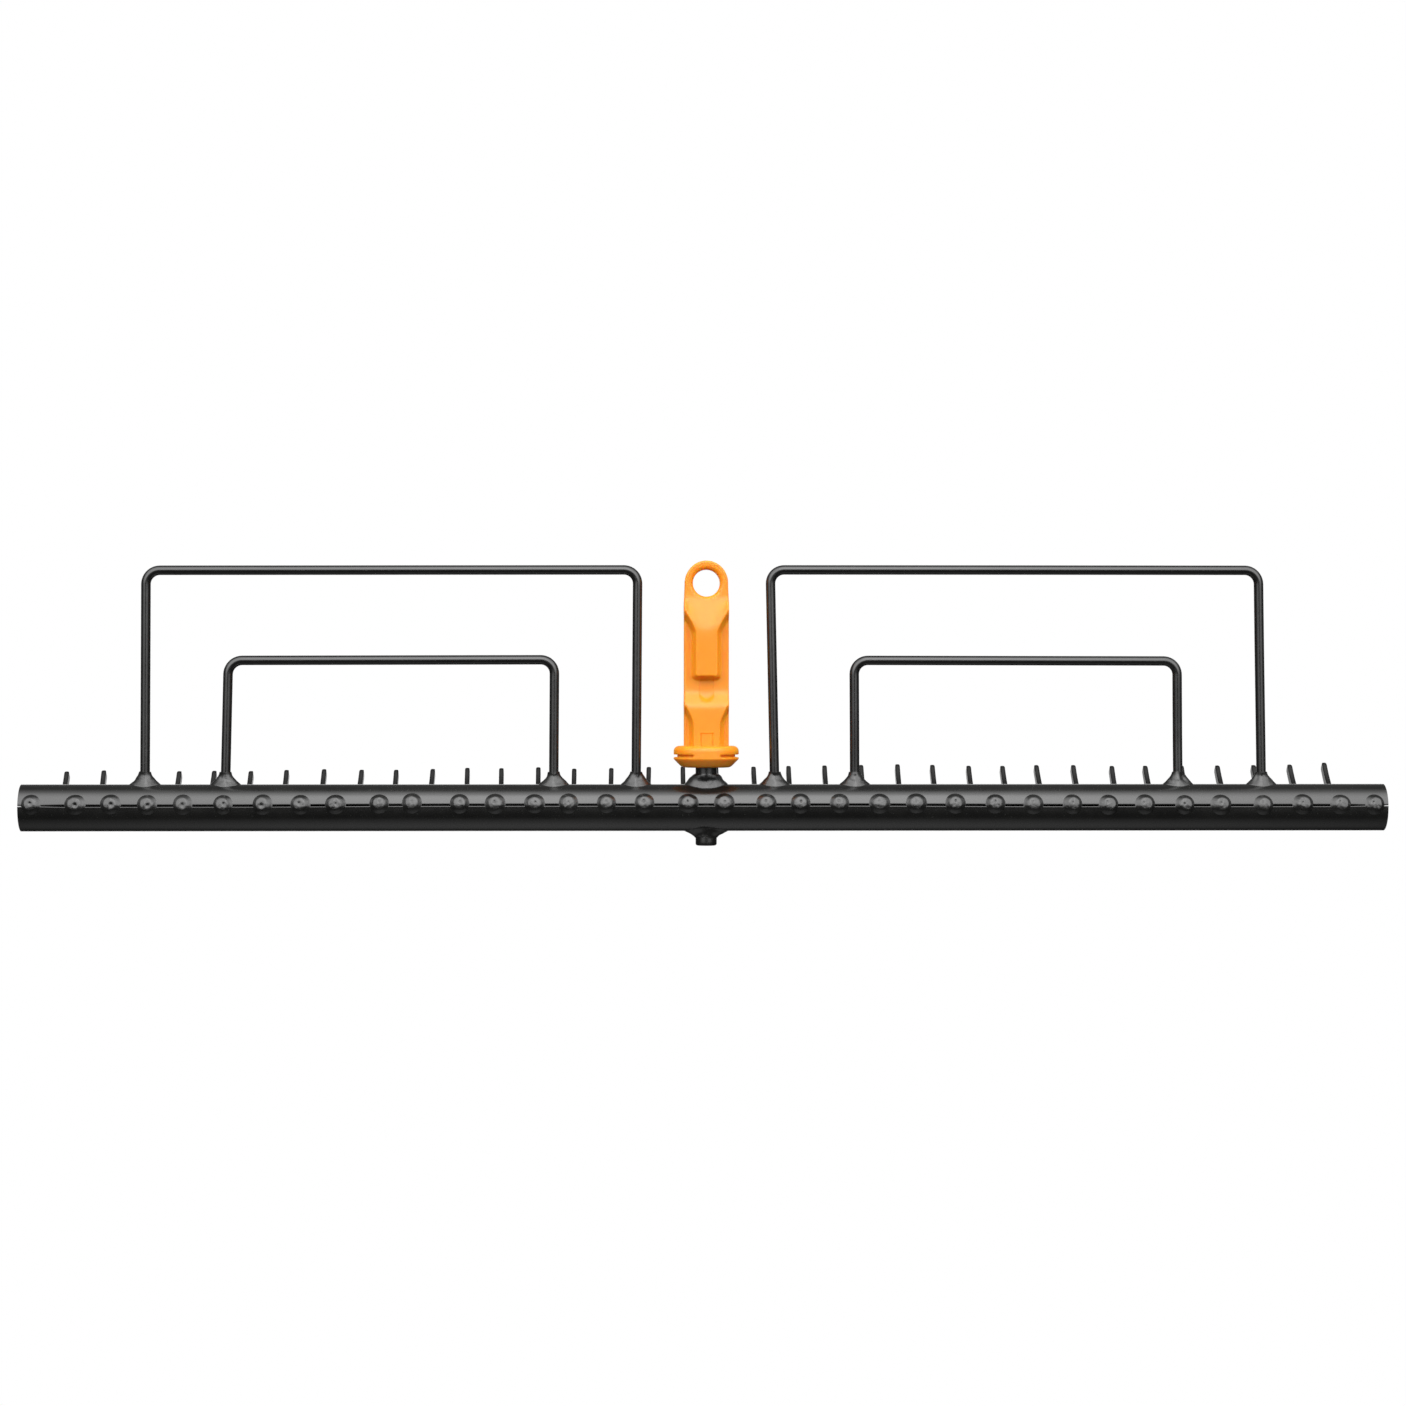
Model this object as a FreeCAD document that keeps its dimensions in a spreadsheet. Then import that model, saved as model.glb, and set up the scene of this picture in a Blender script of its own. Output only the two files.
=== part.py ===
import FreeCAD, Part
import Sketcher
import math
import os
import re

# Head of a lawn rake: spring teeth and wire hoops welded to a steel tube, and the moulded adapter
# that carries the head on a handle.
# +X runs along the tube and +Z up the handle, and the teeth leave the tube towards +Y.
# The origin is on the handle's axis, in the face of the adapter's flange that the handle seats on.

# Lengths are in millimetres and angles in degrees.
DIMENSIONS = {
    # Tube rolled from strip, with its seam left open
    "tube_diameter": 22,
    "tube_wall": 1.5,
    "tube_end_margin": 6.75,
    "seam_gap": 0.7,
    "seam_angle": 8.3,
    # Teeth of round wire, pressed flat outside the tube
    "tooth_count": 36,
    "tooth_pitch": 17.9,
    "tooth_wire": 4,
    "tooth_clearance": 0.1,
    "tooth_root_reach": 4,
    "tooth_flattening": 8,
    "tooth_thickness": 2.3,
    "tooth_width": 5,
    "tooth_straight": 42,
    "tooth_bend_radius": 58,
    "tooth_bend_angle": 57.5,
    "tooth_weld_diameter": 5.4,
    "tooth_weld_height": 1.2,
    # Hoops of bent wire that stand on the tube
    "hoop_wire": 4.5,
    "hoop_distance": 32,
    "hoop_bend_radius": 6.5,
    "outer_hoop_span": 230,
    "outer_hoop_height": 111.5,
    "inner_hoop_span": 153,
    "inner_hoop_height": 69.2,
    "hoop_weld_length": 14.5,
    "hoop_weld_width": 9.5,
    "hoop_weld_height": 5.8,
    "hoop_weld_waist": 8.6,
    "hoop_weld_neck": 5.4,
    # Stud through the tube, with a weld above and below
    "stud_diameter": 10,
    "stud_clearance": 0.1,
    "stud_reach_below": 17.8,
    "stud_chamfer": 0.8,
    "stud_engagement": 17,
    "stud_weld_length": 20.5,
    "stud_weld_width": 13.4,
    "stud_weld_waist": 14,
    "upper_weld_height": 5,
    "upper_weld_neck": 11,
    "lower_weld_height": 3,
    "lower_weld_neck": 10.8,
    # Flange of the adapter: two discs with a groove between them, bridged by a web
    "flange_clearance": 18.9,
    "flange_diameter": 30.6,
    "flange_thickness": 10.1,
    "flange_foot_diameter": 24,
    "flange_cone_height": 3.9,
    "flange_edge_width": 2.4,
    "flange_edge_height": 2,
    "flange_groove_depth": 1.7,
    "flange_groove_height": 1.3,
    "upper_disc_thickness": 4,
    "web_width": 13.6,
    # Tongue of the adapter, which slides into the handle
    "tongue_width": 21,
    "tongue_height": 86.9,
    "plate_thickness": 9,
    "rib_thickness": 18,
    "rib_width": 11.5,
    "rib_bottom": 32.1,
    "shield_drop": 7.4,
    "shield_slope_height": 13,
    "shield_shoulder_width": 18.8,
    "shield_shoulder_height": 5.3,
    "shield_tip_drop": 2.4,
    "block_neck_width": 13.6,
    "block_neck_height": 12,
    "ramp_bottom": 19,
    "ramp_top": 25,
    "notch_diameter": 6.1,
    "notch_height": 24.2,
    "tab_width": 5.6,
    "tab_height": 5.8,
    "tab_groove_width": 1.2,
    "tab_groove_depth": 1,
    "eye_diameter": 12.7,
    "eye_edge_radius": 2,
    # How far a cutting shape runs past what it cuts
    "overrun": 2,
}

START = 1
END = 2
CENTRE = 3
ORIGIN = (-1, 1)
ACROSS_AXIS = -1
UP_AXIS = -2
FULL_TURN = 2 * math.pi

TUBE_RADIUS = "(tube_diameter / 2)"
TUBE_LENGTH = "((tooth_count - 1) * tooth_pitch + 2 * tube_end_margin)"
TUBE_DROP = "(flange_clearance + flange_thickness)"
HOOP_CENTRE = "(hoop_distance + outer_hoop_span / 2)"
EYE_CENTRE = "(tongue_height - tongue_width / 2)"
SHIELD_TOP = f"({EYE_CENTRE} - shield_drop)"
SLOPE_FOOT = f"({SHIELD_TOP} - shield_slope_height)"
BLADE_START = f"({TUBE_RADIUS} + tooth_root_reach + tooth_flattening)"

document = FreeCAD.newDocument("lawn_rake_head")
nodes = {}


def make_sheet():
    """The sheet of driving dimensions, one named cell each."""
    cells = document.addObject("Spreadsheet::Sheet", "Sizes")
    for row, (name, value) in enumerate(DIMENSIONS.items(), start=1):
        cells.set(f"A{row}", name)
        cells.set(f"B{row}", str(value))
        cells.setAlias(f"B{row}", name)
    document.recompute()
    return cells


def in_cells(text):
    """The expression with each dimension's name led by its sheet's name."""
    return re.sub(r"[a-z_]+", lambda word: f"Sizes.{word[0]}" if word[0] in DIMENSIONS else word[0], text)


def measure(text):
    """The present value of an expression."""
    value = sheet.evalExpression(in_cells(text))
    return float(getattr(value, "Value", value))


def bind(item, bound):
    """Ties each property named in bound to its expression."""
    for path, text in bound.items():
        item.setExpression(path, in_cells(text))


def turn(item, axis, angle):
    """Turns an object about one of the frame's axes by an angle given as an expression."""
    rotation = FreeCAD.Rotation(FreeCAD.Vector(*axis), measure(angle))
    item.Placement = FreeCAD.Placement(FreeCAD.Vector(), rotation)
    bind(item, {"Placement.Rotation.Angle": angle})


def make(kind, name, bound):
    item = document.addObject(kind, name)
    bind(item, bound)
    return item


def compound(name, items):
    item = document.addObject("Part::Compound", name)
    item.Links = items
    return item


def cut(name, base, tool):
    item = document.addObject("Part::Cut", name)
    item.Base = base
    item.Tool = tool
    return item


def hang(item, label, tilted=False):
    """Names a sub-part made about the tube's centre, and sets it below the flange."""
    if tilted:
        turn(item, (-1, 0, 0), "seam_angle")
    bind(item, {"Placement.Base.z": f"-{TUBE_DROP}"})
    name_node(item, label)


def name_node(item, label):
    item.Label = label
    nodes[label] = item


def plane(body, role):
    return next(feature for feature in body.Origin.OriginFeatures if feature.Role == role)


def make_sketch(body, name, role, offset="0"):
    """A sketch on one of its body's origin planes, or that far out along the plane's normal."""
    sketch = body.newObject("Sketcher::SketchObject", name)
    sketch.AttachmentSupport = [(plane(body, role), "")]
    sketch.MapMode = "FlatFace"
    if offset != "0":
        bind(sketch, {"AttachmentOffset.Base.z": offset})
    return sketch


def relate(sketch, kind, *places):
    return sketch.addConstraint(Sketcher.Constraint(kind, *places))


def size(sketch, kind, places, text):
    """A dimension of the sketch, driven by an expression."""
    index = relate(sketch, kind, *places, measure(text))
    bind(sketch, {f"Constraints[{index}]": text})


def hold(sketch, item, point, across, up):
    """Holds a point at its distances from the sketch's origin; None leaves that distance free."""
    for kind, axis, text in (("DistanceX", UP_AXIS, across), ("DistanceY", ACROSS_AXIS, up)):
        if text == "0":
            relate(sketch, "PointOnObject", item, point, axis)
        elif text is not None:
            size(sketch, kind, (*ORIGIN, item, point), text)


def point(across, up):
    return FreeCAD.Vector(measure(across), measure(up), 0)


def line(sketch, first, second):
    return sketch.addGeometry(Part.LineSegment(point(*first), point(*second)), False)


def outline(sketch, corners):
    """A closed run of straight lines through the corners."""
    lines = [line(sketch, first, second) for first, second in zip(corners, corners[1:] + corners[:1])]
    for former, latter in zip(lines, lines[1:] + lines[:1]):
        relate(sketch, "Coincident", former, END, latter, START)
    for item, corner in zip(lines, corners):
        hold(sketch, item, START, *corner)


def circle(sketch, centre, diameter):
    whole = Part.Circle(point(*centre), FreeCAD.Vector(0, 0, 1), measure(diameter) / 2)
    item = sketch.addGeometry(whole, False)
    if centre == ("0", "0"):
        relate(sketch, "Coincident", item, CENTRE, *ORIGIN)
    else:
        hold(sketch, item, CENTRE, *centre)
    size(sketch, "Diameter", (item,), diameter)


def arc(sketch, centre, radius, start, end):
    """An arc drawn anticlockwise, as a first guess that the constraints then settle."""
    whole = Part.Circle(point(*centre), FreeCAD.Vector(0, 0, 1), measure(radius))
    return sketch.addGeometry(Part.ArcOfCircle(whole, start, end), False)


def pad(body, name, sketch, length, midplane=False, backwards=False):
    feature = body.newObject("PartDesign::Pad", name)
    feature.Profile = sketch
    feature.Midplane = midplane
    feature.Reversed = backwards
    bind(feature, {"Length": length})
    return feature


def pocket(body, name, sketch, midplane=False, backwards=False, length=None):
    """A cut as deep as the expression says, or right through."""
    feature = body.newObject("PartDesign::Pocket", name)
    feature.Profile = sketch
    feature.Midplane = midplane
    feature.Reversed = backwards
    if length is None:
        feature.Type = "ThroughAll"
    else:
        bind(feature, {"Length": length})
    return feature


def mirror(body, name, feature, role):
    copy = body.newObject("PartDesign::Mirrored", name)
    copy.Originals = [feature]
    copy.MirrorPlane = (plane(body, role), [""])
    body.Tip = copy
    return copy


def spin(body, name, sketch, axis, angle=None, backwards=False):
    """A revolution about one of the sketch's axes, through an angle or all the way round."""
    feature = body.newObject("PartDesign::Revolution", name)
    feature.Profile = sketch
    feature.ReferenceAxis = (sketch, [axis])
    feature.Reversed = backwards
    feature.Angle = 360
    if angle is not None:
        feature.Angle = angle
    return feature


def bead(name, across, length, width, height, waist, neck, upwards=True):
    """A bell-shaped weld bead on the tube's crest, before the tube and the wire are cut from it.

    Its foot lies where its width meets the tube, and flares on so that its length is true at the crest.
    """
    sign = "" if upwards else "-"
    foot_up = f"sqrt({TUBE_RADIUS} ^ 2 - ({width} / 2) ^ 2)"
    flare = f"(({length} - {waist}) / {height} * ({TUBE_RADIUS} - {foot_up}))"
    foot = make("Part::Ellipse", f"{name}_foot", {
        "MajorRadius": f"{length} / 2 + {flare}",
        "MinorRadius": f"{width} / 2",
        "Placement.Base.z": f"{sign}{foot_up}",
    })
    middle = make("Part::Ellipse", f"{name}_middle", {
        "MajorRadius": f"{waist} / 2",
        "MinorRadius": f"({width} + {neck}) / 4",
        "Placement.Base.z": f"{sign}({TUBE_RADIUS} + {height} / 2)",
    })
    top = make("Part::Circle", f"{name}_top", {
        "Radius": f"{neck} / 2",
        "Placement.Base.z": f"{sign}({TUBE_RADIUS} + {height})",
    })
    item = document.addObject("Part::Loft", name)
    item.Sections = [foot, middle, top]
    item.Solid = True
    bind(item, {"Placement.Base.x": across})
    return item


def make_tube():
    """The rolled tube: its open seam, the tooth holes across it and the stud's hole."""
    body = document.addObject("PartDesign::Body", "rolled_tube")
    ring = make_sketch(body, "tube_ring", "YZ_Plane")
    circle(ring, ("0", "0"), "tube_diameter")
    circle(ring, ("0", "0"), "tube_diameter - 2 * tube_wall")
    pad(body, "tube_wall_pad", ring, TUBE_LENGTH, midplane=True)

    seam = make_sketch(body, "seam_slot", "XZ_Plane")
    end = f"({TUBE_LENGTH} / 2 + overrun)"
    edge = "seam_gap / 2"
    outline(seam, [(f"-{end}", f"-{edge}"), (end, f"-{edge}"), (end, edge), (f"-{end}", edge)])
    pocket(body, "seam_cut", seam, length=f"{TUBE_RADIUS} + overrun", backwards=True)

    hole = make_sketch(body, "first_tooth_hole", "XZ_Plane")
    circle(hole, (tooth_place("1"), "0"), "tooth_wire + 2 * tooth_clearance")
    first = pocket(body, "tooth_hole_cut", hole, midplane=True)
    row = body.newObject("PartDesign::LinearPattern", "tooth_holes")
    row.Originals = [first]
    row.Direction = (hole, ["H_Axis"])
    row.Mode = "Spacing"
    bind(row, {"Offset": "tooth_pitch", "Occurrences": "tooth_count"})
    body.Tip = row
    turn(body, (-1, 0, 0), "seam_angle")

    opening = make("Part::Cylinder", "stud_opening", {
        "Radius": "stud_diameter / 2 + stud_clearance",
        "Height": "tube_diameter + 2 * overrun",
        "Placement.Base.z": f"-({TUBE_RADIUS} + overrun)",
    })
    hang(cut("bored_tube", body, opening), "head_tube")


def tooth_place(number):
    """Distance of a numbered tooth from the middle of the tube."""
    return f"({number} - (tooth_count + 1) / 2) * tooth_pitch"


def make_tooth(number):
    """One tooth: a round root through the tube, a flattened blade, its bend and its rounded tip."""
    label = f"tooth_{number:02d}"
    body = document.addObject("PartDesign::Body", f"{label}_body")
    inner_end = f"sqrt({TUBE_RADIUS} ^ 2 - (tooth_wire / 2) ^ 2)"
    outer_end = f"({TUBE_RADIUS} + tooth_root_reach)"
    root = make_sketch(body, f"{label}_root", "XZ_Plane", f"-{outer_end}")
    circle(root, ("0", "0"), "tooth_wire")
    pad(body, f"{label}_root_pad", root, f"{outer_end} + {inner_end}")

    section = make_sketch(body, f"{label}_section", "XZ_Plane", f"-{BLADE_START}")
    blade_section(section)
    flattening = body.newObject("PartDesign::AdditiveLoft", f"{label}_flattening")
    flattening.Profile = root
    flattening.Sections = [section]

    path = make_sketch(body, f"{label}_path", "YZ_Plane")
    run = line(path, (BLADE_START, "0"), ("tooth_straight", "0"))
    quarter = FULL_TURN / 4
    bend = arc(path, ("tooth_straight", "tooth_bend_radius"), "tooth_bend_radius",
               -quarter, math.radians(measure("tooth_bend_angle")) - quarter)
    hold(path, run, START, BLADE_START, "0")
    hold(path, run, END, "tooth_straight", "0")
    relate(path, "Tangent", run, END, bend, START)
    size(path, "Radius", (bend,), "tooth_bend_radius")
    tip_along = "(tooth_straight + tooth_bend_radius * sin(tooth_bend_angle))"
    tip_up = "(tooth_bend_radius * (1 - cos(tooth_bend_angle)))"
    hold(path, bend, END, tip_along, None)
    blade = body.newObject("PartDesign::AdditivePipe", f"{label}_blade")
    blade.Profile = section
    blade.Spine = (path, ["Edge1", "Edge2"])

    half = make_sketch(body, f"{label}_tip_section", "XZ_Plane")
    tilt = FreeCAD.Rotation(FreeCAD.Vector(1, 0, 0), measure("tooth_bend_angle"))
    half.AttachmentOffset = FreeCAD.Placement(FreeCAD.Vector(), tilt)
    bind(half, {
        "AttachmentOffset.Base.y": tip_up,
        "AttachmentOffset.Base.z": f"-{tip_along}",
        "AttachmentOffset.Rotation.Angle": "tooth_bend_angle",
    })
    half_blade_section(half)
    spin(body, f"{label}_tip", half, "H_Axis", angle=180, backwards=True)
    bind(body, {"Placement.Base.x": tooth_place(str(number))})
    hang(body, label, tilted=True)


def blade_section(sketch):
    """The flattened wire: two flats and two round edges."""
    shoulder = "(tooth_width - tooth_thickness) / 2"
    radius = "tooth_thickness / 2"
    half_turn = FULL_TURN / 2
    top = arc(sketch, ("0", shoulder), radius, 0, half_turn)
    bottom = arc(sketch, ("0", f"-{shoulder}"), radius, half_turn, FULL_TURN)
    left = line(sketch, (f"-{radius}", shoulder), (f"-{radius}", f"-{shoulder}"))
    right = line(sketch, (radius, f"-{shoulder}"), (radius, shoulder))
    hold(sketch, top, CENTRE, "0", shoulder)
    hold(sketch, bottom, CENTRE, "0", f"-{shoulder}")
    ring = (top, left, bottom, right)
    for former, latter in zip(ring, ring[1:] + ring[:1]):
        relate(sketch, "Tangent", former, END, latter, START)
    size(sketch, "Radius", (top,), radius)


def half_blade_section(sketch):
    """The upper half of the flattened wire's section, down to its middle."""
    shoulder = "(tooth_width - tooth_thickness) / 2"
    radius = "tooth_thickness / 2"
    top = arc(sketch, ("0", shoulder), radius, 0, FULL_TURN / 2)
    left = line(sketch, (f"-{radius}", shoulder), (f"-{radius}", "0"))
    base = line(sketch, (f"-{radius}", "0"), (radius, "0"))
    right = line(sketch, (radius, "0"), (radius, shoulder))
    relate(sketch, "Tangent", top, END, left, START)
    relate(sketch, "Coincident", left, END, base, START)
    relate(sketch, "Coincident", base, END, right, START)
    relate(sketch, "Tangent", right, END, top, START)
    hold(sketch, top, CENTRE, "0", shoulder)
    hold(sketch, base, START, f"-{radius}", "0")
    hold(sketch, base, END, radius, "0")


def make_tooth_welds(place, numbers):
    """The welds that close the seam over the numbered teeth's roots: caps of spheres."""
    radius = "((tooth_weld_diameter ^ 2 / 4 + tooth_weld_height ^ 2) / (2 * tooth_weld_height))"
    domes = []
    for number in numbers:
        domes.append(make("Part::Sphere", f"tooth_weld_{number:02d}", {
            "Radius": radius,
            "Placement.Base.x": tooth_place(str(number)),
            "Placement.Base.y": f"{radius} - {TUBE_RADIUS} - tooth_weld_height",
        }))
    welds = cut(f"seated_tooth_welds_{place}", compound(f"tooth_weld_domes_{place}", domes), tube_space)
    hang(welds, f"tooth_welds_{place}", tilted=True)


def make_hoop(label, side, span, height):
    """A wire hoop: two legs, two bends and a bar, with its feet cut to sit on the tube."""
    body = document.addObject("PartDesign::Body", f"{label}_wire")
    foot = f"({TUBE_RADIUS} - hoop_wire / 2)"
    leg = f"({span} / 2)"
    shoulder = f"({height} - hoop_bend_radius)"
    inset = f"({leg} - hoop_bend_radius)"
    quarter = FULL_TURN / 4
    path = make_sketch(body, f"{label}_path", "XZ_Plane")
    rise = line(path, (f"-{leg}", foot), (f"-{leg}", shoulder))
    near = arc(path, (f"-{inset}", shoulder), "hoop_bend_radius", quarter, 2 * quarter)
    bar = line(path, (f"-{inset}", height), (inset, height))
    far = arc(path, (inset, shoulder), "hoop_bend_radius", 0, quarter)
    fall = line(path, (leg, shoulder), (leg, foot))
    relate(path, "Tangent", rise, END, near, END)
    relate(path, "Tangent", near, START, bar, START)
    relate(path, "Tangent", bar, END, far, END)
    relate(path, "Tangent", far, START, fall, START)
    hold(path, rise, START, f"-{leg}", foot)
    hold(path, fall, END, leg, foot)
    hold(path, bar, START, f"-{inset}", height)
    hold(path, bar, END, inset, height)
    size(path, "Radius", (near,), "hoop_bend_radius")
    size(path, "Radius", (far,), "hoop_bend_radius")

    section = make_sketch(body, f"{label}_section", "XY_Plane", foot)
    circle(section, (f"-{leg}", "0"), "hoop_wire")
    pipe = body.newObject("PartDesign::AdditivePipe", f"{label}_pipe")
    pipe.Profile = section
    pipe.Spine = (path, [f"Edge{number}" for number in range(1, 6)])
    bind(body, {"Placement.Base.x": f"{side} * {HOOP_CENTRE}"})
    hang(cut(f"seated_{label}", body, tube_space), label)


def make_hoop_welds():
    """The beads round the feet of the hoops."""
    beads = []
    legs = []
    for side in ("-1", "1"):
        for span in ("outer_hoop_span", "inner_hoop_span"):
            for foot in ("-1", "1"):
                across = f"{side} * {HOOP_CENTRE} + {foot} * {span} / 2"
                number = len(beads) + 1
                beads.append(bead(f"hoop_bead_{number}", across, "hoop_weld_length", "hoop_weld_width",
                                  "hoop_weld_height", "hoop_weld_waist", "hoop_weld_neck"))
                legs.append(make("Part::Cylinder", f"hoop_leg_space_{number}", {
                    "Radius": "hoop_wire / 2",
                    "Height": f"{TUBE_RADIUS} + hoop_weld_height + overrun",
                    "Placement.Base.x": across,
                }))
    seated = cut("seated_hoop_beads", compound("hoop_beads", beads), tube_space)
    hang(cut("fitted_hoop_beads", seated, compound("hoop_leg_spaces", legs)), "hoop_welds")


def make_stud():
    """The stud: a plain bar through the tube, chamfered below and held in the adapter above."""
    body = document.addObject("PartDesign::Body", "stud_bar")
    profile = make_sketch(body, "stud_profile", "XZ_Plane")
    edge = "stud_diameter / 2"
    top = f"{TUBE_DROP} + stud_engagement"
    outline(profile, [
        ("0", "-stud_reach_below"),
        (f"{edge} - stud_chamfer", "-stud_reach_below"),
        (edge, "stud_chamfer - stud_reach_below"),
        (edge, top),
        ("0", top),
    ])
    spin(body, "stud_turned", profile, "V_Axis")
    hang(body, "handle_stud")


def make_stud_welds():
    """The two conical welds that hold the stud in the tube."""
    space = make("Part::Cylinder", "stud_space", {
        "Radius": "stud_diameter / 2",
        "Height": f"{TUBE_DROP} + stud_reach_below",
        "Placement.Base.z": "-stud_reach_below",
    })
    for label, kind, upwards in (("stud_weld_upper", "upper", True), ("stud_weld_lower", "lower", False)):
        blank = bead(f"{label}_bead", "0", "stud_weld_length", "stud_weld_width", f"{kind}_weld_height",
                     "stud_weld_waist", f"{kind}_weld_neck", upwards)
        seated = cut(f"seated_{label}", blank, tube_space)
        hang(cut(f"fitted_{label}", seated, space), label)


def make_adapter():
    """The moulded adapter: tongue, eye, shield, rib, block and flange."""
    body = document.addObject("PartDesign::Body", "moulding")
    add_tongue(body)
    shape_face(body)
    add_flange(body)
    socket = make_sketch(body, "stud_socket", "XY_Plane", "-flange_thickness")
    circle(socket, ("0", "0"), "stud_diameter")
    pocket(body, "stud_socket_cut", socket, length="flange_thickness + stud_engagement", backwards=True)
    add_eye(body)
    name_node(body, "handle_adapter")


def add_tongue(body):
    """The tongue's side view, padded to its width, and its arched top."""
    plate = "(plate_thickness / 2)"
    rib = "(rib_thickness / 2)"
    rising = [
        (rib, "-upper_disc_thickness"),
        (rib, "ramp_bottom"),
        (plate, "ramp_top"),
        (plate, "rib_bottom"),
        (rib, "rib_bottom"),
        (rib, SLOPE_FOOT),
        (plate, SHIELD_TOP),
        (plate, "tongue_height"),
    ]
    falling = [(f"-{out}", up) for out, up in reversed(rising)]
    side = make_sketch(body, "tongue_side", "YZ_Plane")
    outline(side, rising + falling)
    pad(body, "tongue_blank", side, "tongue_width", midplane=True)

    edge = "(tongue_width / 2)"
    centre = EYE_CENTRE
    clear = f"({edge} + overrun)"
    above = "(tongue_height + overrun)"
    arch = make_sketch(body, "arch_outline", "XZ_Plane")
    crown = arc(arch, ("0", centre), edge, 0, FULL_TURN / 2)
    corners = [(f"-{edge}", centre), (f"-{clear}", centre), (f"-{clear}", above), (clear, above),
               (clear, centre), (edge, centre)]
    lines = [line(arch, first, second) for first, second in zip(corners, corners[1:])]
    for former, latter in zip(lines, lines[1:]):
        relate(arch, "Coincident", former, END, latter, START)
    for item, corner in zip(lines, corners):
        hold(arch, item, START, *corner)
    hold(arch, lines[-1], END, *corners[-1])
    relate(arch, "Coincident", crown, END, lines[0], START)
    relate(arch, "Coincident", crown, START, lines[-1], END)
    hold(arch, crown, CENTRE, None, centre)
    pocket(body, "arch_cut", arch, midplane=True)


def shape_face(body):
    """What both faces of the tongue carry: side channels, the notch in the ramp and the tab's grooves."""
    edge = "(tongue_width / 2)"
    clear = f"({edge} + overrun)"
    rib = "(rib_width / 2)"
    neck = "(block_neck_width / 2)"
    upper = [(rib, "rib_bottom"), (clear, "rib_bottom"), (clear, SHIELD_TOP), (edge, SHIELD_TOP),
             ("shield_shoulder_width / 2", f"{SLOPE_FOOT} + shield_shoulder_height"),
             (rib, f"{SLOPE_FOOT} - shield_tip_drop")]
    lower = [(neck, "-flange_thickness"), (clear, "-flange_thickness"), (clear, "ramp_bottom"),
             (edge, "ramp_bottom"), (neck, "block_neck_height")]
    channels = make_sketch(body, "side_channels", "XZ_Plane", "plate_thickness / 2")
    for shape in (upper, lower):
        outline(channels, shape)
        outline(channels, [(f"-{across}", up) for across, up in shape])
    cut_both_faces(body, "channels", channels)

    notch = make_sketch(body, "ramp_notch", "XZ_Plane", "plate_thickness / 2")
    circle(notch, ("0", "notch_height"), "notch_diameter")
    cut_both_faces(body, "notch", notch)

    near = "(tab_width / 2)"
    far = "(tab_width / 2 + tab_groove_width)"
    foot = "-flange_thickness"
    groove = [(near, foot), (far, foot), (far, "tab_height"), (near, "tab_height")]
    grooves = make_sketch(body, "tab_grooves", "XZ_Plane", "rib_thickness / 2 - tab_groove_depth")
    outline(grooves, groove)
    outline(grooves, [(f"-{across}", up) for across, up in groove])
    cut_both_faces(body, "grooves", grooves)


def cut_both_faces(body, name, sketch):
    """Cuts outwards from the sketch through the front face, and the same from the back."""
    front = pocket(body, f"{name}_front", sketch, backwards=True)
    mirror(body, f"{name}_back", front, "XZ_Plane")


def add_flange(body):
    """The turned flange, and the web that fills its groove at the front and the back."""
    rim = "(flange_diameter / 2)"
    groove = f"({rim} - flange_groove_depth)"
    groove_top = "(-upper_disc_thickness)"
    groove_bottom = "(-upper_disc_thickness - flange_groove_height)"
    profile = make_sketch(body, "flange_profile", "XZ_Plane")
    outline(profile, [
        ("0", "-flange_thickness"),
        ("flange_foot_diameter / 2", "-flange_thickness"),
        (rim, "flange_cone_height - flange_thickness"),
        (rim, groove_bottom),
        (groove, groove_bottom),
        (groove, groove_top),
        (rim, groove_top),
        (rim, "-flange_edge_height"),
        (f"{rim} - flange_edge_width", "0"),
        ("0", "0"),
    ])
    spin(body, "flange_turned", profile, "V_Axis")

    web = make_sketch(body, "groove_web", "XY_Plane", groove_bottom)
    side = "(web_width / 2)"
    reach = f"sqrt({rim} ^ 2 - {side} ^ 2)"
    bearing = math.atan2(measure(reach), measure(side))
    right = line(web, (side, f"-{reach}"), (side, reach))
    back = arc(web, ("0", "0"), rim, bearing, FULL_TURN / 2 - bearing)
    left = line(web, (f"-{side}", reach), (f"-{side}", f"-{reach}"))
    front = arc(web, ("0", "0"), rim, FULL_TURN / 2 + bearing, FULL_TURN - bearing)
    ring = (right, back, left, front)
    for former, latter in zip(ring, ring[1:] + ring[:1]):
        relate(web, "Coincident", former, END, latter, START)
    for item in (back, front):
        relate(web, "Coincident", item, CENTRE, *ORIGIN)
        size(web, "Radius", (item,), rim)
    for item in (right, left):
        relate(web, "Vertical", item)
    hold(web, right, START, side, None)
    hold(web, left, START, f"-{side}", None)
    pad(body, "groove_web_pad", web, "flange_groove_height")


def add_eye(body):
    """The hanging eye through the tongue, with its edges rounded."""
    eye = make_sketch(body, "eye_circle", "XZ_Plane")
    circle(eye, ("0", EYE_CENTRE), "eye_diameter")
    hole = pocket(body, "eye_cut", eye, midplane=True)
    document.recompute()
    radius = measure("eye_diameter / 2")
    edges = []
    for number, edge in enumerate(hole.Shape.Edges, start=1):
        if isinstance(edge.Curve, Part.Circle) and math.isclose(edge.Curve.Radius, radius):
            edges.append(f"Edge{number}")
    rounding = body.newObject("PartDesign::Fillet", "eye_edges")
    rounding.Base = (hole, edges)
    bind(rounding, {"Radius": "eye_edge_radius"})


def check_document():
    """Stops on any failed object, and on a sub-part that is empty or not valid."""
    for item in document.Objects:
        if "Invalid" in item.State or "Error" in item.State:
            raise RuntimeError(f"{item.Name} is {item.State}")
    for label, item in nodes.items():
        if item.Shape.isNull() or not item.Shape.isValid():
            raise RuntimeError(f"{label} has no valid shape")


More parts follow.
